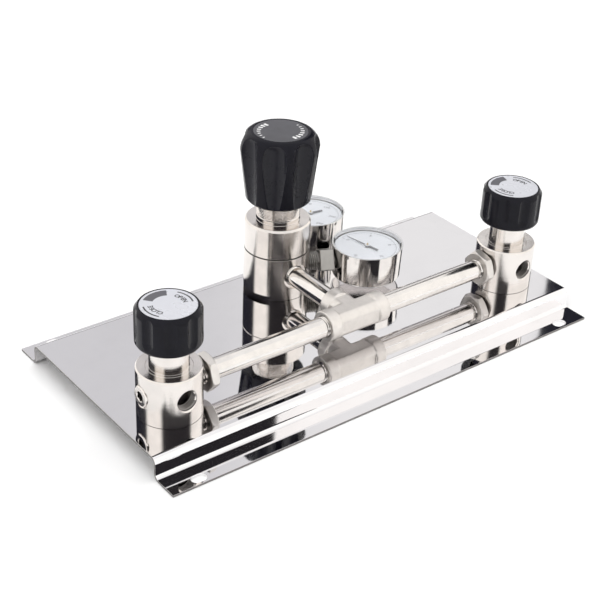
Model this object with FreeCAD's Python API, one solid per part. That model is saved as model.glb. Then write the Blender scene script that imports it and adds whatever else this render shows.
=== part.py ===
import FreeCAD
import Part

import math
import os

# Gas manifold panel: a bent sheet panel that carries two shut-off valves, a tee between them,
# and a pressure regulator with two gauges. Millimetres, degrees.
# The origin is the centre of the four mounting slots, on the face that lies on the wall or bench.
# X runs along the panel towards the right valve, Y towards the regulator, Z away from the wall.

Vector = FreeCAD.Vector
X_AXIS = Vector(1, 0, 0)
Y_AXIS = Vector(0, 1, 0)
Z_AXIS = Vector(0, 0, 1)
FULL_TURN = 360.0
HEX_SIDES = 6

# Panel
panel_length = 338.0
panel_width = 143.4
panel_rise = 14.8
flange_width = 18.5
sheet = 1.5
bend_inside_radius = 1.0
slot_length = 10.0
slot_width = 7.0
slot_from_end = 20.5
slot_from_wall = 13.6

# Where the fittings stand, from the panel's left end and front wall
left_valve_from_end = 33.0
right_valve_from_end = 29.8
valve_from_front = 36.1
regulator_from_end = 172.0
regulator_from_front = 118.3
port_above_panel = 17.2

# Clearances
thread_clearance = 0.05
guide_clearance = 0.1
contact_gap = 0.05
free_gap = 0.3
point_tolerance = 0.005

# Pipe threads, pipes and nuts
pipe_radius = 6.75
pipe_bore_radius = 4.5
port_depth = 8.5
port_chamfer = 0.9
passage_radius = 2.0
lock_nut_flats = 22.0
lock_nut_thickness = 6.0
lock_nut_turn = 40.0
nut_chamfer_angle = 30.0
left_lock_nut_gap = 2.5
right_lock_nut_gap = 0.4

# Tee
tee_half_length = 23.8
tee_branch_length = 21.3
tee_collar_radius = 10.2
tee_collar_width = 8.5
tee_core_radius = 9.8
tee_flat_half_width = 8.7
tee_port_depth = 11.0

# Shut-off valve
valve_radius = 20.0
valve_height = 32.1
valve_edge_chamfer = 0.8
valve_foot_chamfer = 0.4
bonnet_foot_radius = 14.0
bonnet_foot_depth = 5.4
bonnet_radius = 12.0
bonnet_height = 22.6
seat_chamber_radius = 9.5
seat_chamber_depth = 1.5
valve_seat_radius = 4.0
valve_seat_depth = 1.2
valve_seat_proud = 0.9
diaphragm_thickness = 0.3
button_radius = 5.9
button_nose_height = 1.0
button_height = 5.2
valve_travel = 1.25
spindle_radius = 4.0
spindle_chamfer = 0.7
spindle_below_label = 1.6
outlet_drill_radius = 1.5
outlet_drill_offset = 7.6

# Shut-off valve knob
knob_above_body = 16.6
knob_height = 24.4
knob_radius = 20.0
knob_foot_inset = 0.8
knob_foot_rise = 1.4
knob_rim_inset = 2.2
knob_rim_drop = 2.8
knob_socket_clearance = 2.0
knob_socket_headroom = 1.6
knob_groove_count = 9
knob_groove_radius = 7.0
knob_groove_depth = 1.35
knob_groove_from_foot = 7.2
left_knob_turn = -119.0
right_knob_turn = -110.0
label_border = 1.0
label_thickness = 1.0
knob_nut_flats = 13.0
knob_nut_thickness = 4.0
knob_nut_below_label = 3.2
nut_pocket_gap = 1.0

# Valve plug
plug_radius = 6.6
plug_length = 8.0
plug_proud = 0.5
plug_socket_flats = 6.0
plug_socket_depth = 5.0

# Fixing screws under the panel
screw_radius = 2.5
screw_length = 9.0
screw_head_radius = 4.25
screw_head_height = 3.0
screw_socket_flats = 4.0
screw_socket_depth = 1.6
valve_screw_spacing = 22.0
regulator_screw_spacing = 26.0

# Regulator body and bonnet
regulator_radius = 22.4
regulator_body_height = 31.8
regulator_edge_chamfer = 0.6
spot_face_radius = 9.0
foot_flats = 32.0
foot_flats_height = 3.4
poppet_chamber_radius = 5.0
poppet_chamber_bottom = 6.0
regulator_seat_radius = 6.5
regulator_seat_height = 3.0
regulator_seat_bore = 2.2
sensing_chamber_radius = 15.0
sensing_floor_gap = 2.2
sensing_drill_offset = 12.0
regulator_diaphragm_radius = 19.0
regulator_diaphragm_thickness = 0.4
bonnet_shell_radius = 22.3
bonnet_shell_height = 21.3
bonnet_chamfer = 1.2
bonnet_cavity_radius = 16.0
bonnet_roof = 5.0
neck_radius = 14.7
neck_length = 30.0
neck_bore_radius = 12.4
neck_roof = 11.0

# Regulator's moving pieces
plate_edge_gap = 2.0
plate_height = 3.5
plate_pilot_radius = 6.5
plate_pilot_height = 2.0
poppet_radius = 3.6
poppet_height = 4.0
poppet_cone_height = 1.0
poppet_stem_radius = 1.2
main_valve_travel = 0.8
range_spring_radius = 9.3
range_spring_wire = 2.6
range_spring_turns = 6.0
poppet_spring_radius = 3.2
poppet_spring_wire = 0.9
poppet_spring_turns = 4.0
spring_button_height = 4.5
spring_button_pilot_radius = 6.5
spring_button_pilot_height = 2.0
adjusting_screw_radius = 6.0
adjusting_screw_chamfer = 1.0
adjusting_screw_below_cap = 1.5
adjusting_travel = 6.0

# Regulator knob
regulator_knob_above_bonnet = 14.3
regulator_knob_height = 48.2
regulator_knob_foot_radius = 20.8
regulator_knob_low_radius = 22.1
regulator_knob_low_rise = 1.6
regulator_knob_wide_radius = 26.5
regulator_knob_wide_drop = 12.0
regulator_knob_mid_radius = 24.4
regulator_knob_mid_drop = 4.4
regulator_cap_radius = 18.0
regulator_cap_thickness = 2.0
regulator_knob_socket_clearance = 1.3
flute_count = 8
flute_radius = 9.9
flute_axis_radius = 30.8
flute_top_drop = 12.0
regulator_nut_flats = 19.0
regulator_nut_thickness = 8.0
regulator_nut_below_cap = 3.0

# Gauges
gauge_distance = 63.7
front_gauge_angle = -25.5
rear_gauge_angle = 31.0
gauge_thread_radius = 6.5
gauge_thread_depth = 7.6
gauge_block_flats = 14.6
gauge_block_length = 10.2
gauge_case_radius = 24.3
gauge_case_taper = 0.8
gauge_case_depth = 23.0
gauge_case_drop = 12.0
gauge_wall = 0.9
gauge_foot_round = 1.5
gauge_neck_radius = 5.0
gauge_pressure_hole_radius = 1.2
stub_length = 12.7
stub_half_width = 5.0
stub_half_height = 5.5
window_overhang = 0.4
window_thickness = 1.2
window_lip_depth = 1.2
window_lip_width = 1.1
dial_edge_gap = 0.8
dial_thickness = 0.5
dial_below_window = 4.0
dial_hole_radius = 1.6
pointer_gap = 0.7
pointer_thickness = 0.4
pointer_length = 18.0
pointer_tail_length = 9.3
pointer_tail_half_width = 0.9
pointer_half_width = 0.5
pointer_tip_half_width = 0.15
pointer_hub_radius = 1.9
pointer_hub_proud = 0.25
front_pointer_angle = 100.6
rear_pointer_angle = 168.0

# Gauge movement
gear_module = 0.4
pinion_teeth = 10
sector_wheel_teeth = 50
pressure_angle = 20.0
tooth_thickness_share = 0.86
tooth_addendum = 0.8
tooth_dedendum = 1.15
pointer_sweep = 270.0
sector_spare_teeth = 2
pinion_face = 2.5
sector_face = 1.5
sector_level = -2.5
arbor_radius = 0.8
pointer_arbor_radius = 0.55
pointer_arbor_start = 1.0
movement_plate_thickness = 1.0
movement_bottom = -6.5
movement_top = 3.5
movement_half_width = 8.7
movement_pillar_radius = 1.0
movement_pillar_spread = 7.5
movement_margin = 3.0
sector_hub_radius = 1.9
sector_tail_radius = 3.2
sector_tail_half_width = 1.1
link_pin_radius = 0.5
link_pin_height = 1.1
link_thickness = 0.5
link_half_width = 0.9
bourdon_from_wall = 4.6
bourdon_half_thickness = 0.8
bourdon_height = 4.0
bourdon_bottom = -5.2
bourdon_tip_length = 1.6

# Places that follow from the sizes above
panel_left = -panel_length / 2
panel_right = panel_length / 2
panel_front = -panel_width / 2
panel_back = panel_width / 2
left_valve_x = panel_left + left_valve_from_end
right_valve_x = panel_right - right_valve_from_end
valve_y = panel_front + valve_from_front
regulator_x = panel_left + regulator_from_end
regulator_y = panel_front + regulator_from_front
port_z = panel_rise + port_above_panel

valve_top_z = panel_rise + valve_height
ledge_z = valve_top_z - bonnet_foot_depth
chamber_floor_z = ledge_z - seat_chamber_depth
seat_top_z = chamber_floor_z + valve_seat_proud
bonnet_foot_z = ledge_z + diaphragm_thickness
button_bottom_z = seat_top_z + diaphragm_thickness + 2 * contact_gap
button_top_z = button_bottom_z + button_height
valve_neck_top_z = valve_top_z + bonnet_height
button_nose_radius = valve_seat_radius + guide_clearance
knob_rim_radius = knob_radius - knob_rim_inset
label_radius = knob_rim_radius - label_border
knob_bottom_z = valve_top_z + knob_above_body
knob_top_z = knob_bottom_z + knob_height
label_bottom_z = knob_top_z - label_thickness
knob_nut_top_z = label_bottom_z - knob_nut_below_label
knob_nut_bottom_z = knob_nut_top_z - knob_nut_thickness

regulator_top_z = panel_rise + regulator_body_height
bonnet_top_z = regulator_top_z + bonnet_shell_height
neck_top_z = bonnet_top_z + neck_length
plate_bottom_z = regulator_top_z + contact_gap
plate_top_z = plate_bottom_z + plate_height
chamber_bottom_z = panel_rise + poppet_chamber_bottom
seat_bottom_z = port_z + passage_radius + contact_gap
regulator_seat_top_z = seat_bottom_z + regulator_seat_height
diaphragm_bottom_z = regulator_top_z - regulator_diaphragm_thickness
sensing_floor_z = diaphragm_bottom_z - main_valve_travel - sensing_floor_gap
poppet_top_z = seat_bottom_z - contact_gap
spring_button_bottom_z = neck_top_z - neck_roof - spring_button_height - free_gap
spring_button_top_z = spring_button_bottom_z + spring_button_height
regulator_knob_bottom_z = bonnet_top_z + regulator_knob_above_bonnet
regulator_knob_top_z = regulator_knob_bottom_z + regulator_knob_height
regulator_cap_bottom_z = regulator_knob_top_z - regulator_cap_thickness
regulator_nut_top_z = regulator_cap_bottom_z - regulator_nut_below_cap
regulator_nut_bottom_z = regulator_nut_top_z - regulator_nut_thickness
regulator_socket_top_z = neck_top_z + adjusting_travel + free_gap

dial_top = gauge_case_depth - gauge_case_drop + window_thickness - dial_below_window
window_bottom = gauge_case_depth - gauge_case_drop
gauge_inner_radius = gauge_case_radius - gauge_wall
gauge_floor_radius = gauge_inner_radius - gauge_case_taper
stub_out = math.sqrt((gauge_floor_radius - free_gap) ** 2 - stub_half_width**2)
stub_in = stub_out - stub_length
bourdon_radius = gauge_inner_radius - bourdon_from_wall
pinion_pitch_radius = gear_module * pinion_teeth / 2
sector_pitch_radius = gear_module * sector_wheel_teeth / 2
gear_centres = pinion_pitch_radius + sector_pitch_radius
sector_swing = pointer_sweep * pinion_teeth / sector_wheel_teeth


def moved(shape, x=0.0, y=0.0, z=0.0):
    """A copy of the shape, shifted."""
    copy = shape.copy()
    copy.translate(Vector(x, y, z))
    return copy


def turned_about_z(shape, degrees):
    """A copy of the shape, turned about the vertical axis through the origin."""
    copy = shape.copy()
    copy.rotate(Vector(0, 0, 0), Z_AXIS, degrees)
    return copy


def upright(radius, bottom, top, x=0.0, y=0.0):
    """A vertical cylinder between two heights."""
    return Part.makeCylinder(radius, top - bottom, Vector(x, y, bottom), Z_AXIS)


def tube(outer, inner, bottom, top, x=0.0, y=0.0):
    """A vertical tube between two heights."""
    return upright(outer, bottom, top, x, y).cut(upright(inner, bottom, top, x, y))


def block(x_range, y_range, z_range):
    """A box from three ranges."""
    size = [high - low for low, high in (x_range, y_range, z_range)]
    return Part.makeBox(size[0], size[1], size[2], Vector(x_range[0], y_range[0], z_range[0]))


def spun(outline):
    """A solid of revolution about Z, from (radius, height) corners."""
    corners = [Vector(radius, 0, height) for radius, height in outline]
    face = Part.Face(Part.makePolygon(corners + corners[:1]))
    return face.revolve(Vector(0, 0, 0), Z_AXIS, FULL_TURN)


def chamfered_rod(radius, chamfer, bottom, top):
    """A vertical rod with both ends chamfered."""
    outline = [
        (0, bottom),
        (radius - chamfer, bottom),
        (radius, bottom + chamfer),
        (radius, top - chamfer),
        (radius - chamfer, top),
        (0, top),
    ]
    return spun(outline)


def hexagon(flats, bottom, top):
    """A vertical hexagonal bar, with a corner on +X."""
    corners = [heading(step * FULL_TURN / HEX_SIDES) * across_corners(flats) for step in range(HEX_SIDES)]
    face = moved(Part.Face(Part.makePolygon(corners + corners[:1])), z=bottom)
    return face.extrude(Vector(0, 0, top - bottom))


def hex_nut(flats, bore, bottom, top):
    """A nut with both faces chamfered to a circle."""
    corner = across_corners(flats)
    rim = flats / 2
    drop = (corner - rim) * math.tan(math.radians(nut_chamfer_angle))
    outline = [
        (0, bottom),
        (rim, bottom),
        (corner, bottom + drop),
        (corner, top - drop),
        (rim, top),
        (0, top),
    ]
    return hexagon(flats, bottom, top).common(spun(outline)).cut(upright(bore, bottom, top))


def along(shape, direction):
    """A copy of a shape made about +Z, laid so that +Z points along the direction."""
    copy = shape.copy()
    copy.Placement = FreeCAD.Placement(Vector(0, 0, 0), FreeCAD.Rotation(Z_AXIS, direction)).multiply(
        copy.Placement
    )
    return copy


def heading(degrees):
    """A level direction at an angle from +X."""
    return Vector(math.cos(math.radians(degrees)), math.sin(math.radians(degrees)), 0)


def across_corners(flats):
    """Half the width of a hexagon over its corners."""
    return flats / math.sqrt(3)


def drill(radius, angle, start, end, level):
    """A level round cutter on a radius of a vertical body, between two distances from its axis."""
    way = heading(angle)
    return Part.makeCylinder(radius, end - start, Vector(0, 0, level) + way * start, way)


def port(bore, angle, body_radius, depth, level):
    """A threaded port's cutter: the bore and the chamfer at its mouth."""
    way = heading(angle)
    start = Vector(0, 0, level) + way * (body_radius - port_chamfer)
    mouth = Part.makeCone(bore, bore + 2 * port_chamfer, 2 * port_chamfer, start, way)
    return drill(bore, angle, body_radius - depth, body_radius + port_chamfer, level).fuse(mouth)


def rounded_outline(corners):
    """A closed wire in the YZ plane, from (y, z, corner radius) points."""
    count = len(corners)
    edges = []
    last = None
    first = None
    for index, (y, z, radius) in enumerate(corners):
        here = Vector(0, y, z)
        before = Vector(0, *corners[index - 1][:2])
        after = Vector(0, *corners[(index + 1) % count][:2])
        to_before = (before - here).normalize()
        to_after = (after - here).normalize()
        start = here + to_before * radius
        end = here + to_after * radius
        if last is None:
            first = start
        else:
            edges.append(Part.makeLine(last, start))
        if radius > 0:
            middle = here + (to_before + to_after) * radius * (1 - math.sqrt(0.5))
            edges.append(Part.Arc(start, middle, end).toShape())
        last = end
    edges.append(Part.makeLine(last, first))
    return Part.Wire(edges)


def slot_cutter(x, y):
    """An oblong hole through a flange, along X."""
    half_run = (slot_length - slot_width) / 2
    radius = slot_width / 2
    middle = block((x - half_run, x + half_run), (y - radius, y + radius), (-sheet, 2 * sheet))
    ends = [upright(radius, -sheet, 2 * sheet, x + end, y) for end in (-half_run, half_run)]
    return middle.multiFuse(ends)


def fixing_points():
    """Where the fixing screws stand under the valves and the regulator."""
    points = [
        (valve_x + offset, valve_y)
        for valve_x in (left_valve_x, right_valve_x)
        for offset in (-valve_screw_spacing / 2, valve_screw_spacing / 2)
    ]
    points += [
        (regulator_x + offset, regulator_y)
        for offset in (-regulator_screw_spacing / 2, regulator_screw_spacing / 2)
    ]
    return points


def base_panel():
    """The bent sheet: a raised table between two walls, each with an outward flange."""
    inside = bend_inside_radius
    outside = bend_inside_radius + sheet
    edge_front = panel_front - flange_width
    edge_back = panel_back + flange_width
    outline = [
        (edge_front, 0, 0),
        (edge_front, sheet, 0),
        (panel_front, sheet, inside),
        (panel_front, panel_rise, outside),
        (panel_back, panel_rise, outside),
        (panel_back, sheet, inside),
        (edge_back, sheet, 0),
        (edge_back, 0, 0),
        (panel_back - sheet, 0, outside),
        (panel_back - sheet, panel_rise - sheet, inside),
        (panel_front + sheet, panel_rise - sheet, inside),
        (panel_front + sheet, 0, outside),
    ]
    sheet_face = Part.Face(rounded_outline(outline))
    panel = moved(sheet_face.extrude(Vector(panel_length, 0, 0)), x=panel_left)
    cutters = [
        slot_cutter(x, y)
        for x in (panel_left + slot_from_end, panel_right - slot_from_end)
        for y in (panel_front - slot_from_wall, panel_back + slot_from_wall)
    ]
    cutters += [
        upright(screw_radius + free_gap, panel_rise - 2 * sheet, panel_rise + sheet, x, y)
        for x, y in fixing_points()
    ]
    return panel.cut(cutters)


def panel_fixing_screws():
    """Socket screws from below, through the panel into the valves and the regulator."""
    seat = panel_rise - sheet
    tip = panel_rise + screw_length
    head_bottom = seat - screw_head_height
    screw = upright(screw_radius, seat, tip).fuse(upright(screw_head_radius, head_bottom, seat))
    screw = screw.cut(hexagon(screw_socket_flats, head_bottom, head_bottom + screw_socket_depth))
    return Part.makeCompound([moved(screw, x, y) for x, y in fixing_points()])


def screw_holes(spacing, depth):
    """Tapped holes in the underside of a body, on its X axis."""
    return [
        upright(screw_radius + thread_clearance, panel_rise, panel_rise + depth, x)
        for x in (-spacing / 2, spacing / 2)
    ]


def valve_body(pipe_angle):
    """A bar-stock valve body, its axis at the origin, with three ports and a diaphragm chamber."""
    chamfer = valve_edge_chamfer
    body = spun(
        [
            (0, panel_rise),
            (valve_radius - valve_foot_chamfer, panel_rise),
            (valve_radius, panel_rise + valve_foot_chamfer),
            (valve_radius, valve_top_z - chamfer),
            (valve_radius - chamfer, valve_top_z),
            (0, valve_top_z),
        ]
    )
    foot_bore = bonnet_foot_radius + thread_clearance
    thread = pipe_radius + thread_clearance
    plug_bore = plug_radius + thread_clearance
    cutters = [
        upright(foot_bore, ledge_z, valve_top_z),
        upright(seat_chamber_radius, chamber_floor_z, ledge_z),
        upright(valve_seat_radius + thread_clearance, chamber_floor_z - valve_seat_depth, chamber_floor_z),
        upright(passage_radius, port_z, chamber_floor_z),
        port(thread, -90, valve_radius, port_depth, port_z),
        port(thread, pipe_angle, valve_radius, port_depth, port_z),
        port(plug_bore, pipe_angle + 180, valve_radius, port_depth, port_z),
        drill(passage_radius, -90, 0, valve_radius, port_z),
        drill(passage_radius, pipe_angle + 180, 0, valve_radius, port_z),
    ]
    outlet = upright(outlet_drill_radius, port_z, chamber_floor_z, outlet_drill_offset)
    outlet = outlet.fuse(drill(outlet_drill_radius, 0, outlet_drill_offset, valve_radius, port_z))
    cutters.append(turned_about_z(outlet, pipe_angle))
    cutters += screw_holes(valve_screw_spacing, screw_length + free_gap)
    return body.cut(cutters)


def valve_seat():
    """The soft ring that the diaphragm closes on."""
    return tube(valve_seat_radius, passage_radius, chamber_floor_z - valve_seat_depth, seat_top_z)


def valve_diaphragm():
    """A thin formed disc, clamped at its rim and pressed onto the seat in the middle."""
    middle_radius = valve_seat_radius + free_gap
    middle_z = seat_top_z + contact_gap
    rim_z = ledge_z
    outline = [
        (0, middle_z),
        (middle_radius, middle_z),
        (seat_chamber_radius - free_gap, rim_z),
        (bonnet_foot_radius, rim_z),
        (bonnet_foot_radius, rim_z + diaphragm_thickness),
        (seat_chamber_radius - free_gap, rim_z + diaphragm_thickness),
        (middle_radius, middle_z + diaphragm_thickness),
        (0, middle_z + diaphragm_thickness),
    ]
    return spun(outline)


def valve_button():
    """The pressing button between the spindle and the diaphragm."""
    shoulder = button_bottom_z + button_nose_height
    nose = upright(button_nose_radius, button_bottom_z, shoulder)
    return nose.fuse(upright(button_radius, shoulder, button_top_z))


def valve_bonnet():
    """The bonnet: a threaded foot in the body and the neck that the knob slides over."""
    bore_top = button_top_z + valve_travel + free_gap
    outline = [
        (seat_chamber_radius, bonnet_foot_z),
        (bonnet_foot_radius, bonnet_foot_z),
        (bonnet_foot_radius, valve_top_z),
        (bonnet_radius, valve_top_z),
        (bonnet_radius, valve_neck_top_z - valve_edge_chamfer),
        (bonnet_radius - valve_edge_chamfer, valve_neck_top_z),
        (spindle_radius + thread_clearance, valve_neck_top_z),
        (spindle_radius + thread_clearance, bore_top),
        (button_radius + guide_clearance, bore_top),
        (button_radius + guide_clearance, bonnet_foot_z + button_nose_height),
    ]
    return spun(outline)


def valve_spindle():
    """The threaded stem that the knob turns."""
    top = label_bottom_z - spindle_below_label
    return chamfered_rod(spindle_radius, spindle_chamfer, button_top_z + contact_gap, top)


def groove_cutter(radius, axis_radius, ball_z, top):
    """A vertical ball-ended cutter beside the axis, open at the top."""
    shank = upright(radius, ball_z, top, axis_radius)
    return shank.fuse(Part.makeSphere(radius, Vector(axis_radius, 0, ball_z)))


def valve_knob():
    """The fluted handwheel, hollow below for the neck and recessed on top for the label."""
    hub_bore = spindle_radius + thread_clearance
    recess = label_radius + guide_clearance
    socket = bonnet_radius + knob_socket_clearance
    socket_top = valve_neck_top_z + knob_socket_headroom
    pocket = across_corners(knob_nut_flats) + nut_pocket_gap
    outline = [
        (socket, knob_bottom_z),
        (knob_radius - knob_foot_inset, knob_bottom_z),
        (knob_radius, knob_bottom_z + knob_foot_rise),
        (knob_radius, knob_top_z - knob_rim_drop),
        (knob_rim_radius, knob_top_z),
        (recess, knob_top_z),
        (recess, label_bottom_z),
        (pocket, label_bottom_z),
        (pocket, knob_nut_bottom_z),
        (hub_bore, knob_nut_bottom_z),
        (hub_bore, socket_top),
        (socket, socket_top),
    ]
    axis_radius = knob_radius - knob_groove_depth + knob_groove_radius
    groove = groove_cutter(
        knob_groove_radius, axis_radius, knob_bottom_z + knob_groove_from_foot, knob_top_z + knob_rim_drop
    )
    pitch = FULL_TURN / knob_groove_count
    return spun(outline).cut([turned_about_z(groove, step * pitch) for step in range(knob_groove_count)])


def valve_label():
    """The printed disc on top of the knob."""
    return upright(label_radius, label_bottom_z, knob_top_z)


def valve_knob_nut():
    """The nut that holds the knob on its spindle."""
    return hex_nut(knob_nut_flats, spindle_radius + thread_clearance, knob_nut_bottom_z, knob_nut_top_z)


def valve_plug(angle):
    """A socket plug that closes the port away from the pipe."""
    face = valve_radius + plug_proud
    plug = along(upright(plug_radius, face - plug_length, face), heading(angle))
    socket = along(hexagon(plug_socket_flats, face - plug_socket_depth, face), heading(angle))
    return moved(plug.cut(socket), z=port_z)


def valve_parts(side, valve_x, pipe_angle, knob_turn):
    """All pieces of one shut-off valve, by node name."""
    pieces = {
        "body": valve_body(pipe_angle),
        "seat": valve_seat(),
        "diaphragm": valve_diaphragm(),
        "button": valve_button(),
        "bonnet": valve_bonnet(),
        "spindle": valve_spindle(),
        "knob": turned_about_z(valve_knob(), knob_turn),
        "knob_nut": turned_about_z(valve_knob_nut(), knob_turn),
        "label": valve_label(),
        "plug": valve_plug(pipe_angle + 180),
    }
    return {f"{side}_valve_{name}": moved(shape, valve_x, valve_y) for name, shape in pieces.items()}


def level_pipe(start, end):
    """A pipe along X at the ports' height."""
    pipe = tube(pipe_radius, pipe_bore_radius, start, end)
    return moved(along(pipe, X_AXIS), y=valve_y, z=port_z)


def left_pipe():
    """The pipe from the left valve to the tee."""
    start = left_valve_x + valve_radius - port_depth + free_gap
    end = regulator_x - tee_half_length + tee_port_depth - free_gap
    return level_pipe(start, end)


def right_pipe():
    """The pipe from the tee to the right valve."""
    start = regulator_x + tee_half_length - tee_port_depth + free_gap
    end = right_valve_x - valve_radius + port_depth - free_gap
    return level_pipe(start, end)


def pipe_lock_nuts():
    """The two nuts that lock the pipes at the valves."""
    nut = hex_nut(lock_nut_flats, pipe_radius + thread_clearance, 0, lock_nut_thickness)
    nut = turned_about_z(nut, lock_nut_turn)
    nut = along(nut, X_AXIS)
    left_x = left_valve_x + valve_radius + left_lock_nut_gap
    right_x = right_valve_x - valve_radius - right_lock_nut_gap - lock_nut_thickness
    return Part.makeCompound([moved(nut, x, valve_y, port_z) for x in (left_x, right_x)])


def tee_arm(length):
    """One arm of the tee along +Z: a flattened round bar that ends in a round collar."""
    core = upright(tee_core_radius, 0, length)
    half = tee_flat_half_width
    core = core.common(block((-half, half), (-half, half), (0, length)))
    return core.fuse(upright(tee_collar_radius, length - tee_collar_width, length))


def tee_fitting():
    """The tee between the two valves, with its branch towards the regulator."""
    runs = {180: tee_half_length, 0: tee_half_length, 90: tee_branch_length}
    solid = None
    cutters = []
    for angle, length in runs.items():
        arm = along(tee_arm(length), heading(angle))
        solid = arm if solid is None else solid.fuse(arm)
        cutters.append(port(pipe_radius + thread_clearance, angle, length, tee_port_depth, 0))
        cutters.append(drill(pipe_bore_radius, angle, 0, length, 0))
    return moved(solid.removeSplitter().cut(cutters), regulator_x, valve_y, port_z)


def inlet_nipple():
    """The nipple from the tee's branch into the regulator's inlet."""
    start = valve_y + tee_branch_length - tee_port_depth + free_gap
    end = regulator_y - regulator_radius + port_depth - free_gap
    nipple = along(tube(pipe_radius, pipe_bore_radius, start, end), Y_AXIS)
    return moved(nipple, x=regulator_x, z=port_z)


def foot_flat(side):
    """A cutter for one spanner flat at the regulator's foot."""
    reach = 2 * regulator_radius
    inner = foot_flats / 2
    x_range = (inner, reach) if side > 0 else (-reach, -inner)
    return block(x_range, (-reach, reach), (panel_rise, panel_rise + foot_flats_height))


def spot_faced_port(bore, angle, depth):
    """A regulator port: a flat spot face on the round body and the bore behind it."""
    seat = math.sqrt(regulator_radius**2 - spot_face_radius**2)
    face = drill(spot_face_radius, angle, seat, 2 * regulator_radius, port_z)
    return port(bore, angle, seat, depth - (regulator_radius - seat), port_z).fuse(face)


def regulator_body():
    """The regulator body, with inlet, outlet and two gauge ports at one height."""
    chamfer = regulator_edge_chamfer
    body = spun(
        [
            (0, panel_rise),
            (regulator_radius, panel_rise),
            (regulator_radius, regulator_top_z - chamfer),
            (regulator_radius - chamfer, regulator_top_z),
            (0, regulator_top_z),
        ]
    )
    thread = pipe_radius + thread_clearance
    gauge_thread = gauge_thread_radius + thread_clearance
    gauge_end = regulator_radius - gauge_thread_depth - free_gap
    cutters = [
        upright(poppet_chamber_radius, chamber_bottom_z, seat_bottom_z),
        upright(regulator_seat_radius + thread_clearance, seat_bottom_z, regulator_seat_top_z),
        upright(sensing_chamber_radius, sensing_floor_z, regulator_top_z),
        upright(regulator_seat_bore, regulator_seat_top_z, sensing_floor_z),
        upright(regulator_diaphragm_radius + guide_clearance, diaphragm_bottom_z, regulator_top_z),
        spot_faced_port(thread, -90, port_depth),
        spot_faced_port(thread, 90, port_depth),
        spot_faced_port(gauge_thread, front_gauge_angle, gauge_thread_depth + free_gap),
        spot_faced_port(gauge_thread, rear_gauge_angle, gauge_thread_depth + free_gap),
        drill(passage_radius, -90, 0, regulator_radius, port_z),
        drill(passage_radius, front_gauge_angle, 0, gauge_end + free_gap, port_z),
        foot_flat(1),
        foot_flat(-1),
    ]
    for angle in (90, rear_gauge_angle):
        riser = upright(passage_radius, port_z, sensing_floor_z, sensing_drill_offset)
        riser = riser.fuse(drill(passage_radius, 0, sensing_drill_offset, regulator_radius, port_z))
        cutters.append(turned_about_z(riser, angle))
    cutters += screw_holes(regulator_screw_spacing, screw_length + free_gap)
    return body.cut(cutters)


def regulator_seat():
    """The soft seat that the poppet closes on from below."""
    return tube(regulator_seat_radius, regulator_seat_bore, seat_bottom_z, regulator_seat_top_z)


def regulator_diaphragm():
    """The sensing diaphragm, clamped between body and bonnet."""
    return upright(regulator_diaphragm_radius, diaphragm_bottom_z, regulator_top_z)


def regulator_bonnet():
    """The bonnet shell and its long neck, which holds the range spring and the adjusting screw's thread."""
    chamfer = regulator_edge_chamfer
    outline = [
        (sensing_chamber_radius, regulator_top_z),
        (bonnet_shell_radius - chamfer, regulator_top_z),
        (bonnet_shell_radius, regulator_top_z + chamfer),
        (bonnet_shell_radius, bonnet_top_z - bonnet_chamfer),
        (bonnet_shell_radius - bonnet_chamfer, bonnet_top_z),
        (neck_radius, bonnet_top_z),
        (neck_radius, neck_top_z - bonnet_chamfer),
        (neck_radius - bonnet_chamfer, neck_top_z),
        (adjusting_screw_radius + thread_clearance, neck_top_z),
        (adjusting_screw_radius + thread_clearance, neck_top_z - neck_roof),
        (neck_bore_radius, neck_top_z - neck_roof),
        (neck_bore_radius, bonnet_top_z - bonnet_roof),
        (bonnet_cavity_radius, bonnet_top_z - bonnet_roof),
        (bonnet_cavity_radius, regulator_top_z + plate_height),
        (sensing_chamber_radius, regulator_top_z + plate_height),
    ]
    return spun(outline)


def diaphragm_plate():
    """The plate between the range spring and the diaphragm."""
    plate = upright(sensing_chamber_radius - plate_edge_gap, plate_bottom_z, plate_top_z)
    return plate.fuse(upright(plate_pilot_radius, plate_top_z, plate_top_z + plate_pilot_height))


def regulator_poppet():
    """The poppet: a cone that meets the seat from below and a stem up to the diaphragm."""
    stem_top = diaphragm_bottom_z - contact_gap
    outline = [
        (0, poppet_top_z - poppet_height),
        (poppet_radius, poppet_top_z - poppet_height),
        (poppet_radius, poppet_top_z - poppet_cone_height),
        (regulator_seat_bore, poppet_top_z),
        (poppet_stem_radius, poppet_top_z),
        (poppet_stem_radius, stem_top),
        (0, stem_top),
    ]
    return spun(outline)


def coil_spring(mean_radius, wire, turns, bottom, top):
    """A compression spring of square wire, between two heights."""
    height = top - bottom - wire
    helix = Part.makeHelix(height / turns, height, mean_radius)
    half = wire / 2
    corners = [
        Vector(mean_radius - half, 0, -half),
        Vector(mean_radius + half, 0, -half),
        Vector(mean_radius + half, 0, half),
        Vector(mean_radius - half, 0, half),
    ]
    section = Part.makePolygon(corners + corners[:1])
    spring = Part.Wire(helix).makePipeShell([section], True, True)
    return moved(spring, z=bottom + half)


def range_spring():
    """The spring that sets the outlet pressure."""
    return coil_spring(
        range_spring_radius,
        range_spring_wire,
        range_spring_turns,
        plate_top_z + contact_gap,
        spring_button_bottom_z - contact_gap,
    )


def poppet_spring():
    """The small spring that closes the poppet."""
    return coil_spring(
        poppet_spring_radius,
        poppet_spring_wire,
        poppet_spring_turns,
        chamber_bottom_z + contact_gap,
        poppet_top_z - poppet_height - contact_gap,
    )


def spring_button():
    """The upper spring seat, which the adjusting screw pushes down."""
    button = upright(neck_bore_radius - free_gap, spring_button_bottom_z, spring_button_top_z)
    pilot_bottom = spring_button_bottom_z - spring_button_pilot_height
    return button.fuse(upright(spring_button_pilot_radius, pilot_bottom, spring_button_bottom_z))


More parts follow.
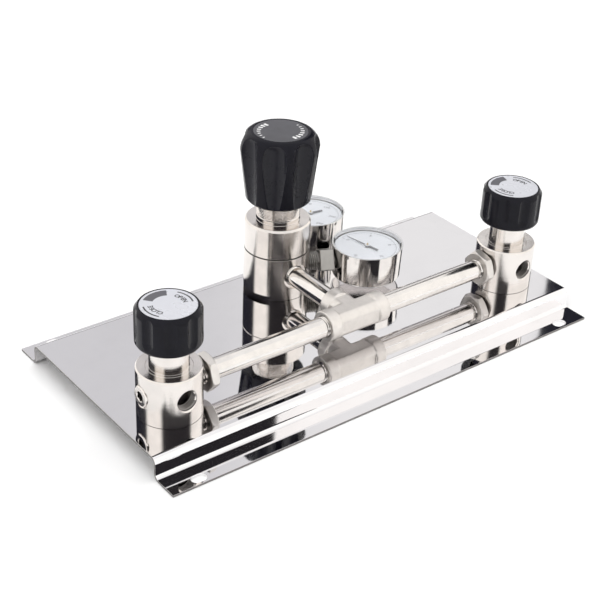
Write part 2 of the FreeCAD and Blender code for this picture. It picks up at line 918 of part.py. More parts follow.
def adjusting_screw():
    """The threaded screw through the neck's roof."""
    bottom = spring_button_top_z + contact_gap
    top = regulator_cap_bottom_z - adjusting_screw_below_cap
    return chamfered_rod(adjusting_screw_radius, adjusting_screw_chamfer, bottom, top)


def regulator_knob():
    """The tapered knob: widest near its top, with eight flutes that run out towards the foot."""
    foot = regulator_knob_bottom_z
    top = regulator_knob_top_z
    recess = regulator_cap_radius + guide_clearance
    rim = recess + free_gap
    hub_bore = adjusting_screw_radius + thread_clearance
    socket_top = regulator_socket_top_z
    pocket = across_corners(regulator_nut_flats) + nut_pocket_gap
    socket = neck_radius + regulator_knob_socket_clearance
    wide = Vector(regulator_knob_wide_radius, 0, top - regulator_knob_wide_drop)
    crown = [
        wide,
        Vector(regulator_knob_mid_radius, 0, top - regulator_knob_mid_drop),
        Vector(rim, 0, top),
    ]
    corners = [
        Vector(rim, 0, top),
        Vector(recess, 0, top),
        Vector(recess, 0, regulator_cap_bottom_z),
        Vector(pocket, 0, regulator_cap_bottom_z),
        Vector(pocket, 0, regulator_nut_bottom_z),
        Vector(hub_bore, 0, regulator_nut_bottom_z),
        Vector(hub_bore, 0, socket_top),
        Vector(socket, 0, socket_top),
        Vector(socket, 0, foot),
        Vector(regulator_knob_foot_radius, 0, foot),
        Vector(regulator_knob_low_radius, 0, foot + regulator_knob_low_rise),
        wide,
    ]
    wire = Part.Wire([Part.Arc(*crown).toShape()] + Part.makePolygon(corners).Edges)
    body = Part.Face(wire).revolve(Vector(0, 0, 0), Z_AXIS, FULL_TURN)
    ball_z = top - flute_top_drop
    shank = upright(flute_radius, foot - flute_radius, ball_z, flute_axis_radius)
    flute = shank.fuse(Part.makeSphere(flute_radius, Vector(flute_axis_radius, 0, ball_z)))
    pitch = FULL_TURN / flute_count
    return body.cut([turned_about_z(flute, step * pitch) for step in range(flute_count)])


def regulator_knob_nut():
    """The nut that holds the knob on the adjusting screw."""
    bore = adjusting_screw_radius + thread_clearance
    return hex_nut(regulator_nut_flats, bore, regulator_nut_bottom_z, regulator_nut_top_z)


def regulator_knob_cap():
    """The disc that closes the knob's top."""
    return upright(regulator_cap_radius, regulator_cap_bottom_z, regulator_knob_top_z)


def regulator_parts():
    """All pieces of the regulator, by node name."""
    pieces = {
        "regulator_body": regulator_body(),
        "regulator_seat": regulator_seat(),
        "regulator_diaphragm": regulator_diaphragm(),
        "regulator_bonnet": regulator_bonnet(),
        "diaphragm_plate": diaphragm_plate(),
        "regulator_poppet": regulator_poppet(),
        "range_spring": range_spring(),
        "poppet_spring": poppet_spring(),
        "spring_button": spring_button(),
        "adjusting_screw": adjusting_screw(),
        "regulator_knob": regulator_knob(),
        "regulator_knob_nut": regulator_knob_nut(),
        "regulator_knob_cap": regulator_knob_cap(),
    }
    return {name: moved(shape, regulator_x, regulator_y) for name, shape in pieces.items()}


def gauge_case():
    """The gauge's cup, slightly narrower at its floor, with a round hole for the stem."""
    outer = gauge_case_radius
    foot = outer - gauge_case_taper
    inner = gauge_inner_radius
    floor = gauge_floor_radius
    bottom = -gauge_case_drop
    top = bottom + gauge_case_depth
    outline = [
        (0, bottom),
        (foot - gauge_foot_round, bottom),
        (foot, bottom + gauge_foot_round),
        (outer, top),
        (inner, top),
        (floor, bottom + gauge_wall + gauge_foot_round / 2),
        (floor - gauge_foot_round / 2, bottom + gauge_wall),
        (0, bottom + gauge_wall),
    ]
    return spun(outline).cut(drill(gauge_neck_radius + guide_clearance, 180, inner / 2, 2 * outer, 0))


def gauge_socket():
    """The gauge's stem: the threaded end, the square block and the stub inside the case."""
    thread_end = gauge_distance - regulator_radius + gauge_thread_depth
    block_in = gauge_case_radius + contact_gap
    block_out = block_in + gauge_block_length
    half = gauge_block_flats / 2
    socket = drill(gauge_thread_radius, 180, block_out, thread_end, 0)
    socket = socket.fuse(block((-block_out, -block_in), (-half, half), (-half, half)))
    socket = socket.fuse(drill(gauge_neck_radius, 180, stub_out, block_in, 0))
    stub = block(
        (-stub_out, -stub_in), (-stub_half_width, stub_half_width), (-stub_half_height, stub_half_height)
    )
    socket = socket.fuse(stub)
    return socket.cut(drill(gauge_pressure_hole_radius, 180, bourdon_radius, thread_end, 0))


def gauge_window():
    """The clear window that caps the case, with a lip inside it."""
    lip_outer = gauge_inner_radius - guide_clearance
    edge = gauge_case_radius + window_overhang
    lip_inner = lip_outer - window_lip_width
    bottom = window_bottom
    top = bottom + window_thickness
    rounding = window_thickness / 2
    outline = [
        (0, bottom),
        (lip_inner, bottom),
        (lip_inner, bottom - window_lip_depth),
        (lip_outer, bottom - window_lip_depth),
        (lip_outer, bottom),
        (edge, bottom),
        (edge, top - rounding),
        (edge - rounding, top),
        (0, top),
    ]
    return spun(outline)


def gauge_dial():
    """The dial plate, with a hole for the pointer's arbor."""
    return tube(gauge_inner_radius - dial_edge_gap, dial_hole_radius, dial_top - dial_thickness, dial_top)


def gauge_pointer():
    """The pointer on its hub: a fine arm along +X and a broader tail."""
    bottom = dial_top + pointer_gap
    corners = [
        Vector(-pointer_tail_length, -pointer_tail_half_width, bottom),
        Vector(0, -pointer_tail_half_width, bottom),
        Vector(0, -pointer_half_width, bottom),
        Vector(pointer_length, -pointer_tip_half_width, bottom),
        Vector(pointer_length, pointer_tip_half_width, bottom),
        Vector(0, pointer_half_width, bottom),
        Vector(0, pointer_tail_half_width, bottom),
        Vector(-pointer_tail_length, pointer_tail_half_width, bottom),
    ]
    arm = Part.Face(Part.makePolygon(corners + corners[:1])).extrude(Vector(0, 0, pointer_thickness))
    hub_top = bottom + pointer_thickness + pointer_hub_proud
    hub = upright(pointer_hub_radius, bottom - pointer_hub_proud, hub_top)
    bore = upright(pointer_arbor_radius + thread_clearance, 0, window_bottom)
    return arm.fuse(hub).cut(bore)


def involute(angle):
    """The involute function of a pressure angle in radians."""
    return math.tan(angle) - angle


def tooth_half_angle(teeth, radius):
    """Half the angle that a tooth fills at a radius, in radians."""
    pitch_radius = gear_module * teeth / 2
    base_radius = pitch_radius * math.cos(math.radians(pressure_angle))
    at_radius = math.acos(min(1.0, base_radius / radius))
    half_at_pitch = tooth_thickness_share * math.pi / (2 * teeth)
    return half_at_pitch + involute(math.radians(pressure_angle)) - involute(at_radius)


def toothed_arc(teeth, first, count):
    """Corners of a run of teeth about the origin; tooth number n is centred at n tooth pitches from +X."""
    pitch_radius = gear_module * teeth / 2
    root = pitch_radius - tooth_dedendum * gear_module
    tip = pitch_radius + tooth_addendum * gear_module
    low = max(root, pitch_radius * math.cos(math.radians(pressure_angle)))
    levels = [low, pitch_radius, (pitch_radius + tip) / 2, tip]
    corners = []
    for number in range(first, first + count):
        middle = 2 * math.pi * number / teeth
        left = [(radius, middle - tooth_half_angle(teeth, radius)) for radius in levels]
        right = [(radius, middle + tooth_half_angle(teeth, radius)) for radius in reversed(levels)]
        start = (root, left[0][1])
        end = (root, right[-1][1])
        corners += [start] + left + right + [end]
    return [(radius * math.cos(angle), radius * math.sin(angle)) for radius, angle in corners]


def flat_piece(points, bottom, top):
    """A flat piece from (x, y) corners, without repeats, between two heights."""
    corners = []
    for x, y in points:
        corner = Vector(x, y, bottom)
        if not corners or corner.distanceToPoint(corners[-1]) > point_tolerance:
            corners.append(corner)
    return Part.Face(Part.makePolygon(corners + corners[:1])).extrude(Vector(0, 0, top - bottom))


def gauge_pinion():
    """The pinion and its arbor, which carries the pointer."""
    low = sector_level - (pinion_face - sector_face) / 2
    teeth = flat_piece(toothed_arc(pinion_teeth, 0, pinion_teeth), low, low + pinion_face)
    teeth = turned_about_z(teeth, -90)
    shoulder = dial_top - pointer_arbor_start
    arbor = upright(arbor_radius, movement_bottom, shoulder)
    tip = upright(pointer_arbor_radius, shoulder, window_bottom - free_gap)
    return teeth.fuse(arbor).fuse(tip)


def sector_span():
    """Tooth numbers at the two ends of the sector, counted from the tooth space at the pinion."""
    tooth_pitch = FULL_TURN / sector_wheel_teeth
    swing_teeth = math.ceil(sector_swing / tooth_pitch)
    return -swing_teeth - sector_spare_teeth, sector_spare_teeth


def gauge_sector():
    """The toothed sector about its own arbor at the origin, with its teeth towards +Y and its tail down."""
    first, last = sector_span()
    count = last - first
    rim = toothed_arc(sector_wheel_teeth, first, count)
    tooth_pitch = 2 * math.pi / sector_wheel_teeth
    quarter = math.pi / 2
    facing = quarter + tooth_pitch / 2
    rim = [
        (x * math.cos(facing) - y * math.sin(facing), x * math.sin(facing) + y * math.cos(facing))
        for x, y in rim
    ]
    level = sector_level
    plate = flat_piece([(0, 0)] + rim, level, level + sector_face)
    hub = upright(sector_hub_radius, level, level + sector_face)
    arbor = upright(arbor_radius, movement_bottom, movement_top)
    half = sector_tail_half_width
    tail = block((0, sector_tail_radius), (-half, half), (level, level + sector_face))
    tail = tail.fuse(upright(half, level, level + sector_face, sector_tail_radius))
    pin_bottom = level + sector_face
    pin = upright(link_pin_radius, pin_bottom, pin_bottom + link_pin_height, sector_tail_radius)
    tail = tail.fuse(pin)
    tail = turned_about_z(tail, -90 - sector_swing / 2)
    return moved(plate.fuse(hub).fuse(arbor).fuse(tail), y=-gear_centres)


def link_start():
    """Where the link's first hole stands at rest: on the sector's tail pin."""
    angle = math.radians(-90 - sector_swing / 2)
    return sector_tail_radius * math.cos(angle), -gear_centres + sector_tail_radius * math.sin(angle)


def link_end():
    """Where the link's far hole stands at rest: on the middle of the curved tube, level with its start."""
    y = link_start()[1]
    return math.sqrt(bourdon_radius**2 - y**2), y


def gauge_link():
    """The link from the sector's tail to the tube's free end."""
    start = link_start()
    end = link_end()
    bottom = sector_level + sector_face + contact_gap
    top = bottom + link_thickness
    sides = (start[1] - link_half_width, start[1] + link_half_width)
    bar = block((start[0], end[0]), sides, (bottom, top))
    eyes = [upright(link_half_width, bottom, top, x, y) for x, y in (start, end)]
    holes = [upright(link_pin_radius + thread_clearance, bottom, top, x, y) for x, y in (start, end)]
    return bar.multiFuse(eyes).removeSplitter().cut(holes)


def gauge_bourdon_tube():
    """The curved pressure tube, from the stub round to its free end, with the link's pin."""
    inner = bourdon_radius - bourdon_half_thickness
    outer = bourdon_radius + bourdon_half_thickness
    root_angle = 180 - math.degrees(math.asin((stub_half_width + contact_gap) / inner))
    pin_x, pin_y = link_end()
    tip_angle = math.degrees(math.atan2(pin_y, pin_x) - bourdon_tip_length / bourdon_radius)
    top = bourdon_bottom + bourdon_height
    section = Part.makePolygon(
        [
            Vector(inner, 0, bourdon_bottom),
            Vector(outer, 0, bourdon_bottom),
            Vector(outer, 0, top),
            Vector(inner, 0, top),
            Vector(inner, 0, bourdon_bottom),
        ]
    )
    arc = Part.Face(section).revolve(Vector(0, 0, 0), Z_AXIS, root_angle - tip_angle)
    pin_top = sector_level + sector_face + link_pin_height
    pin = upright(link_pin_radius, top, pin_top, pin_x, pin_y)
    return turned_about_z(arc, tip_angle).fuse(pin)


def gauge_movement_frame():
    """Two plates and three pillars that carry both arbors."""
    low = movement_bottom
    high = movement_top
    thick = movement_plate_thickness
    back = pinion_pitch_radius + movement_margin
    front = -gear_centres - movement_margin
    wide = movement_half_width
    plates = [
        block((-wide, wide), (front, back), (high - thick, high)),
        block((-wide, wide), (front, back), (low, low + thick)),
        block((-stub_in - movement_margin, 0), (-stub_half_width, back), (low, low + thick)),
    ]
    pillars = [
        upright(movement_pillar_radius, low, high, side * movement_pillar_spread, -gear_centres)
        for side in (-1, 1)
    ]
    pillars.append(upright(movement_pillar_radius, low, high, 0, back - movement_pillar_radius))
    frame = plates[0].multiFuse(plates[1:] + pillars)
    holes = [
        upright(arbor_radius + thread_clearance, low - thick, high + thick, 0, y) for y in (0, -gear_centres)
    ]
    return frame.cut(holes)


def gauge_parts(side, angle, pointer_angle):
    """All pieces of one gauge, by node name."""
    pieces = {
        "case": gauge_case(),
        "socket": gauge_socket(),
        "window": gauge_window(),
        "dial": gauge_dial(),
        "pointer": turned_about_z(gauge_pointer(), pointer_angle - angle),
        "pinion": gauge_pinion(),
        "sector": gauge_sector(),
        "link": gauge_link(),
        "bourdon_tube": gauge_bourdon_tube(),
        "movement_frame": gauge_movement_frame(),
    }
    centre = Vector(regulator_x, regulator_y, port_z) + heading(angle) * gauge_distance
    turned = {name: turned_about_z(shape, angle) for name, shape in pieces.items()}
    return {f"{side}_gauge_{name}": moved(shape, *centre) for name, shape in turned.items()}


def pipework_parts():
    """The pipes, nuts and fittings between the valves and the regulator."""
    return {
        "left_pipe": left_pipe(),
        "right_pipe": right_pipe(),
        "pipe_lock_nuts": pipe_lock_nuts(),
        "tee_fitting": tee_fitting(),
        "inlet_nipple": inlet_nipple(),
    }


def all_parts():
    """Every node of the panel, by name."""
    parts = {"base_panel": base_panel(), "panel_fixing_screws": panel_fixing_screws()}
    parts.update(valve_parts("left", left_valve_x, 0, left_knob_turn))
    parts.update(valve_parts("right", right_valve_x, 180, right_knob_turn))
    parts.update(pipework_parts())
    parts.update(regulator_parts())
    parts.update(gauge_parts("front", front_gauge_angle, front_pointer_angle))
    parts.update(gauge_parts("rear", rear_gauge_angle, rear_pointer_angle))
    return parts


os.makedirs("parts", exist_ok=True)
for node, shape in all_parts().items():
    shape.exportStep(f"parts/{node}.step")
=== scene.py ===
"""The looks of a gas manifold panel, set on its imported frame.

Sizes are in millimetres and become metres when a piece is made. Every piece is built from bmesh
operators, is placed by the boxes of the frame's nodes and rides on the body that carries it.
"""

import logging
import math
from collections.abc import Callable, Sequence
from dataclasses import dataclass
from enum import Enum

import bmesh
import bpy
from mathutils import Matrix, Vector
from mathutils.geometry import interpolate_bezier


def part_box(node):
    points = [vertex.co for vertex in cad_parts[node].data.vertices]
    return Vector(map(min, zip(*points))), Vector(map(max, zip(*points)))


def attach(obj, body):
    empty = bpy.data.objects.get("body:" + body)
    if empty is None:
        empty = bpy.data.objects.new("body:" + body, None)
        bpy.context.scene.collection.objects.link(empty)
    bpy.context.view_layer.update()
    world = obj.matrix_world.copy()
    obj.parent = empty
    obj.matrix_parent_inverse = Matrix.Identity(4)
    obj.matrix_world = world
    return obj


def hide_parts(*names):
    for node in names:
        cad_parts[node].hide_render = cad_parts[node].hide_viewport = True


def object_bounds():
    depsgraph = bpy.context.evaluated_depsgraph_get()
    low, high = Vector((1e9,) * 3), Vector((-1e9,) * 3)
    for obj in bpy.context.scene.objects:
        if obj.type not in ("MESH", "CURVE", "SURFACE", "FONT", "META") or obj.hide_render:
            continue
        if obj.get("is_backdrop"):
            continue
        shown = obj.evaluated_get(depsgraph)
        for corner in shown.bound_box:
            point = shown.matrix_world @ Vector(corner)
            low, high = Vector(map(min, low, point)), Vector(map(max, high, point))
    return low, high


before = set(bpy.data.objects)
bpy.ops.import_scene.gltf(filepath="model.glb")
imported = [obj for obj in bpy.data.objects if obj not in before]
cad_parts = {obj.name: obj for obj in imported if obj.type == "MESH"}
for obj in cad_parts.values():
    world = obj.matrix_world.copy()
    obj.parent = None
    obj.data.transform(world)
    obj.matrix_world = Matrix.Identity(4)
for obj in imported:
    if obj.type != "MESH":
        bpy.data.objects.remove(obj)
cad_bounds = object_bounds()

log = logging.getLogger("gas_panel")
MM = 0.001
PANEL_BODY = "panel"
TURN_SECTORS = 12
SAME_POINT = 1e-4
ORIGIN = Vector((0, 0, 0))


class Axis(Enum):
    """The axis of the frame that a turned or drawn piece lies along."""

    X = Vector((1, 0, 0))
    Y = Vector((0, 1, 0))
    Z = Vector((0, 0, 1))


def low(node: str) -> Vector:
    """The lowest corner of a node, in millimetres."""
    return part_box(node)[0] / MM


def high(node: str) -> Vector:
    """The highest corner of a node, in millimetres."""
    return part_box(node)[1] / MM


def centre(node: str) -> Vector:
    """The middle of a node's box, in millimetres."""
    return (low(node) + high(node)) / 2


def laid_along(direction: Vector, origin: Vector) -> Matrix:
    """The placement that turns +Z to a direction and moves the origin.

    Args:
        direction: where +Z points afterwards.
        origin: where the origin stands afterwards.

    Returns:
        The placement as a matrix.
    """
    turn = Vector((0, 0, 1)).rotation_difference(direction).to_matrix().to_4x4()
    return Matrix.Translation(origin) @ turn


def upright(origin: Vector, degrees: float = 0.0) -> Matrix:
    """The placement of an upright piece: its turn about the vertical and its place."""
    return Matrix.Translation(origin) @ Matrix.Rotation(math.radians(degrees), 4, "Z")


def in_scene(name: str, data: bpy.types.ID) -> bpy.types.Object:
    """A new object with some data, put in the scene."""
    made = bpy.data.objects.new(name, data)
    bpy.context.scene.collection.objects.link(made)
    return made


def raised_to(level: float) -> Vector:
    """The point of the Z axis at a height."""
    return Vector((0, 0, level))


def heading(degrees: float) -> Vector:
    """A level direction at an angle from +X."""
    return Vector((math.cos(math.radians(degrees)), math.sin(math.radians(degrees)), 0))


class Signal:
    """A shader socket that takes part in Python arithmetic."""

    def __init__(self, graph: "Graph", socket: bpy.types.NodeSocket) -> None:
        """Wraps one output socket of a graph."""
        self.graph = graph
        self.socket = socket

    def maths(self, operation: str, *others: "Signal | float") -> "Signal":
        """This signal, put through a Math node with any others."""
        values = dict(enumerate((self, *others)))
        return self.graph.node("ShaderNodeMath", {"operation": operation}, values)

    def __add__(self, other: "Signal | float") -> "Signal":
        """The sum."""
        return self.maths("ADD", other)

    def __mul__(self, other: "Signal | float") -> "Signal":
        """The product."""
        return self.maths("MULTIPLY", other)

    def __sub__(self, other: "Signal | float") -> "Signal":
        """The difference."""
        return self.maths("SUBTRACT", other)

    def __rsub__(self, other: float) -> "Signal":
        """A number less this signal."""
        return self.maths("MULTIPLY", -1.0) + other

    def __pow__(self, other: float) -> "Signal":
        """The power."""
        return self.maths("POWER", other)

    def between(self, start: float, stop: float) -> "Signal":
        """A smooth step from 0 at start to 1 at stop."""
        sockets = {"Value": self, "From Min": start, "From Max": stop}
        return self.graph.node("ShaderNodeMapRange", {"interpolation_type": "SMOOTHSTEP"}, sockets)


class Graph:
    """A node tree under construction."""

    def __init__(self, tree: bpy.types.NodeTree) -> None:
        """Starts from an empty tree."""
        self.tree = tree
        tree.nodes.clear()

    def node(
        self, kind: str, settings: dict | None = None, sockets: dict | None = None, output: str | int = 0
    ) -> Signal:
        """Adds a node.

        Args:
            kind: the node's type.
            settings: its own settings, set before its sockets.
            sockets: values or signals by input name or number.
            output: the output that the signal stands for.

        Returns:
            The signal of that output.
        """
        made = self.tree.nodes.new(kind)
        for name, value in (settings or {}).items():
            setattr(made, name, value)
        for name, value in (sockets or {}).items():
            if isinstance(value, Signal):
                self.tree.links.new(value.socket, made.inputs[name])
            else:
                made.inputs[name].default_value = value
        return Signal(self, made.outputs[output]) if made.outputs else Signal(self, made.inputs[0])

    def place(self, offset: Vector = ORIGIN) -> Signal:
        """Object coordinates in millimetres, counted from an offset in millimetres."""
        coordinates = self.node("ShaderNodeTexCoord", output="Object")
        sockets = {"Vector": coordinates, "Location": offset * -1.0, "Scale": (1 / MM,) * 3}
        return self.node("ShaderNodeMapping", {"vector_type": "POINT"}, sockets)

    def noise(self, vector: Signal, scale: float, detail: float = 2.0, roughness: float = 0.5) -> Signal:
        """A noise value about 0.5 over a vector."""
        sockets = {"Vector": vector, "Scale": scale, "Detail": detail, "Roughness": roughness}
        return self.node("ShaderNodeTexNoise", {}, sockets)

    def blend(
        self, factor: Signal, first: Signal | Sequence[float], second: Signal | Sequence[float]
    ) -> Signal:
        """A mix of two colours: the first where the factor is 0, the second where it is 1."""
        sockets = {0: factor}
        for place, colour in ((6, first), (7, second)):
            sockets[place] = colour if isinstance(colour, Signal) else (*colour, 1.0)
        return self.node("ShaderNodeMix", {"data_type": "RGBA"}, sockets, 2)

    def bump(self, height: Signal, depth: float = 1.0) -> Signal:
        """A bumped normal; depth is the height's size in millimetres."""
        sockets = {"Height": height, "Distance": depth * MM, "Strength": 1.0}
        return self.node("ShaderNodeBump", {}, sockets)

    def principled(self, sockets: dict) -> Signal:
        """The principled shader with its sockets filled."""
        return self.node("ShaderNodeBsdfPrincipled", {}, sockets)

    def close(self, shader: Signal) -> None:
        """Joins the last shader to the output."""
        self.node("ShaderNodeOutputMaterial", {}, {"Surface": shader})


@dataclass(frozen=True)
class Finish:
    """A surface finish; each kind draws its own shader."""

    name: str
    colour: tuple[float, float, float]

    def draw(self, graph: Graph, origin: Vector, axis: Axis) -> Signal:
        """The finish's shader, for a piece about an axis through an origin."""
        raise NotImplementedError

    def patchy(self, graph: Graph, noise: Signal, step: tuple[float, float], share: float) -> Signal:
        """The finish's own colour where a noise is low, and a share of it where the noise is high."""
        return graph.blend(noise.between(*step), self.colour, [c * share for c in self.colour])

    def material(self, origin: Vector = ORIGIN, axis: Axis = Axis.Z) -> bpy.types.Material:
        """The material of this finish about an axis.

        Args:
            origin: a point of the axis that the marks run round, in millimetres.
            axis: the axis's direction.

        Returns:
            The material, made once for each axis.
        """
        key = f"{self.name}_{axis.name}_{origin.x:.0f}_{origin.y:.0f}_{origin.z:.0f}"
        known = bpy.data.materials.get(key)
        if known:
            return known
        made = bpy.data.materials.new(key)
        made.use_nodes = True
        made.diffuse_color = (*self.colour, 1.0)
        graph = Graph(made.node_tree)
        graph.close(self.draw(graph, origin, axis))
        return made


@dataclass(frozen=True)
class MirrorSteel(Finish):
    """Polished stainless sheet: clear reflections, a faint waviness and hairlines."""

    roughness: float = 0.035
    waviness: float = 0.004
    hairline: float = 0.0004
    smeared_share: float = 0.97

    def draw(self, graph: Graph, origin: Vector, axis: Axis) -> Signal:
        """Waves from rolling, hairlines along the sheet and soft wipe marks."""
        place = graph.place()
        waves = graph.noise(place, 0.02, 1.0)
        along = graph.node("ShaderNodeMapping", {}, {"Vector": place, "Scale": (0.02, 1.0, 1.0)})
        hairs = graph.noise(along, 3.0, 2.0, 0.7)
        smears = graph.noise(place, 0.035, 4.0, 0.6)
        normal = graph.bump(waves * self.waviness + hairs * self.hairline)
        sockets = {
            "Base Color": self.patchy(graph, smears, (0.35, 0.75), self.smeared_share),
            "Metallic": 1.0,
            "Roughness": smears.between(0.3, 0.9) * self.roughness + hairs * 0.02 + self.roughness * 0.5,
            "Normal": normal,
        }
        return graph.principled(sockets)


@dataclass(frozen=True)
class TurnedSteel(Finish):
    """Bar stock from the lathe: fine rings about the axis, on the sides and on the end faces."""

    roughness: float = 0.13
    ring_depth: float = 0.0035
    ring_pitch: float = 0.35
    worn_share: float = 0.93

    def draw(self, graph: Graph, origin: Vector, axis: Axis) -> Signal:
        """Rings that follow the distance along the axis and the distance from it."""
        place = graph.place(origin)
        with_axis = {0: place, 1: axis.value}
        along = graph.node("ShaderNodeVectorMath", {"operation": "DOT_PRODUCT"}, with_axis, "Value")
        sideways = graph.node("ShaderNodeVectorMath", {"operation": "CROSS_PRODUCT"}, with_axis)
        out = graph.node("ShaderNodeVectorMath", {"operation": "LENGTH"}, {0: sideways}, "Value")
        across = graph.node("ShaderNodeCombineXYZ", {}, {"X": along, "Y": out})
        rings = graph.noise(across, 1.0 / self.ring_pitch, 3.0, 0.65)
        patches = graph.noise(place, 0.09, 3.0, 0.55)
        sockets = {
            "Base Color": self.patchy(graph, patches, (0.35, 0.7), self.worn_share),
            "Metallic": 1.0,
            "Roughness": rings * 0.06 + patches * 0.05 + (self.roughness - 0.05),
            "Normal": graph.bump(rings, self.ring_depth),
        }
        return graph.principled(sockets)


@dataclass(frozen=True)
class BlastedSteel(Finish):
    """Cast or forged steel after bead blasting: an even, fine grain."""

    roughness: float = 0.36
    grain: float = 0.012
    clouding: float = 0.08

    def draw(self, graph: Graph, origin: Vector, axis: Axis) -> Signal:
        """A grain finer than a millimetre with cloudy wear on top."""
        place = graph.place()
        grain = graph.noise(place, 3.2, 3.0, 0.7)
        clouds = graph.noise(place, 0.16, 3.0, 0.6)
        sockets = {
            "Base Color": self.patchy(graph, clouds, (0.3, 0.75), 1 - self.clouding),
            "Metallic": 1.0,
            "Roughness": clouds * 0.12 + grain * 0.08 + (self.roughness - 0.1),
            "Normal": graph.bump(grain, self.grain),
        }
        return graph.principled(sockets)


@dataclass(frozen=True)
class Moulded(Finish):
    """Moulded plastic: a smooth skin with a fine grain and a weak gloss."""

    roughness: float = 0.2
    shine: float = 0.5
    grain: float = 0.002
    grain_size: float = 0.6
    pale_share: float = 1.25

    def draw(self, graph: Graph, origin: Vector, axis: Axis) -> Signal:
        """A fine grain over slow flow marks."""
        place = graph.place()
        grain = graph.noise(place, 1.0 / self.grain_size, 2.0, 0.6)
        flow = graph.noise(place, 0.12, 2.0, 0.5)
        sockets = {
            "Base Color": self.patchy(graph, flow, (0.3, 0.8), self.pale_share),
            "Roughness": flow * 0.06 + grain * 0.03 + (self.roughness - 0.045),
            "Specular IOR Level": self.shine,
            "Normal": graph.bump(grain, self.grain),
        }
        return graph.principled(sockets)


@dataclass(frozen=True)
class Film(Finish):
    """A coated or printed flat surface, such as a label, a dial or ink."""

    roughness: float = 0.35
    metallic: float = 0.0
    mottle: float = 0.012

    def draw(self, graph: Graph, origin: Vector, axis: Axis) -> Signal:
        """An even coat with a slight mottle."""
        place = graph.place()
        mottle = graph.noise(place, 0.12, 2.0, 0.5)
        sockets = {
            "Base Color": self.patchy(graph, mottle, (0.3, 0.7), 1 - self.mottle),
            "Metallic": self.metallic,
            "Roughness": mottle * 0.08 + (self.roughness - 0.04),
        }
        return graph.principled(sockets)


@dataclass(frozen=True)
class ClearWindow(Finish):
    """A clear plastic window: see-through, with a gloss that grows as it turns away from the eye."""

    gloss: float = 0.03
    least_share: float = 0.04
    edge_power: float = 5.0

    def draw(self, graph: Graph, origin: Vector, axis: Axis) -> Signal:
        """A mix of clear and glossy by the angle of sight."""
        smears = graph.noise(graph.place(), 0.08, 3.0, 0.6)
        clear = graph.node("ShaderNodeBsdfTransparent", {}, {"Color": (*self.colour, 1.0)})
        sockets = {"Color": (1.0, 1.0, 1.0, 1.0), "Roughness": smears * 0.03 + self.gloss}
        glossy = graph.node("ShaderNodeBsdfAnisotropic", {}, sockets)
        turned_away = graph.node("ShaderNodeLayerWeight", {}, {"Blend": 0.5}, "Facing")
        share = turned_away**self.edge_power * (1 - self.least_share) + self.least_share
        return graph.node("ShaderNodeMixShader", {}, {0: share, 1: clear, 2: glossy})


class Finishes:
    """The finishes of this panel."""

    sheet = MirrorSteel("polished_sheet", (0.92, 0.91, 0.915))
    # The outer cut edges: the dull grey of sheared steel, made darker with painted shade.
    sheared = BlastedSteel("sheared_edge_steel", (0.24, 0.23, 0.225), roughness=0.42)
    case = TurnedSteel("polished_case", (0.88, 0.86, 0.84), roughness=0.07, ring_depth=0.02, ring_pitch=0.5)
    valve = TurnedSteel("turned_valve_steel", (0.84, 0.80, 0.765), roughness=0.15, ring_depth=0.035)
    regulator = TurnedSteel("turned_regulator_steel", (0.83, 0.79, 0.755), roughness=0.13, ring_depth=0.04)
    # Painted shade: a dark steel laid in bores, threads, seams, dimples and narrow gaps, where shade falls.
    oiled = TurnedSteel("oiled_thread_steel", (0.26, 0.245, 0.235), roughness=0.30)
    pipe = TurnedSteel("drawn_pipe_steel", (0.85, 0.82, 0.79), roughness=0.14)
    nut = BlastedSteel("milled_nut_steel", (0.78, 0.75, 0.72), roughness=0.40, grain=0.004)
    tee = BlastedSteel("blasted_tee_steel", (0.80, 0.765, 0.73), roughness=0.44)
    # Painted shade: the gauge stems' blocks, darker than the tee's steel for the dark that they mirror.
    socket = BlastedSteel("blasted_socket_steel", (0.40, 0.39, 0.375), roughness=0.30, grain=0.006)
    gloss_black = Moulded("glossy_black", (0.0075, 0.0075, 0.012), roughness=0.12, shine=0.16)
    satin_black = Moulded("satin_black", (0.0085, 0.0085, 0.0135), roughness=0.22, shine=0.14, grain=0.003)
    # Painted light: a paler, glossier copy of the satin black for the regulator knob's flutes, for the light
    # that they catch.
    groove_black = Moulded("groove_black", (0.0125, 0.0125, 0.0185), roughness=0.28, shine=0.25, grain=0.004)
    label = Film("label_film", (0.69, 0.70, 0.745), roughness=0.28, metallic=0.2)
    dial = Film("dial_enamel", (0.84, 0.85, 0.88), roughness=0.4)
    black_ink = Film("black_ink", (0.02, 0.02, 0.022), roughness=0.4)
    grey_ink = Film("grey_ink", (0.11, 0.11, 0.125), roughness=0.4)
    cap_black = Moulded("cap_black", (0.075, 0.075, 0.084), roughness=0.42, grain=0.004)
    dial_ink = Film("dial_ink", (0.20, 0.20, 0.22), roughness=0.4)
    pointer = Film("pointer_paint", (0.17, 0.17, 0.18), roughness=0.35)
    pointer_hub = Film("pointer_hub_paint", (0.72, 0.72, 0.73), roughness=0.3)
    white_ink = Film("white_ink", (0.85, 0.85, 0.85), roughness=0.4)
    brass = TurnedSteel("machined_brass", (0.80, 0.60, 0.30), roughness=0.24)
    spring = TurnedSteel("spring_steel", (0.58, 0.58, 0.59), roughness=0.28)
    plated = TurnedSteel("plated_steel", (0.72, 0.73, 0.75), roughness=0.24)
    polymer = Moulded("seat_polymer", (0.80, 0.78, 0.71), roughness=0.45)
    window = ClearWindow("clear_window", (0.97, 0.975, 0.98))


@dataclass(frozen=True)
class Corner:
    """A corner of an outline: its place and the radius that rounds it."""

    across: float
    up: float
    radius: float = 0.0


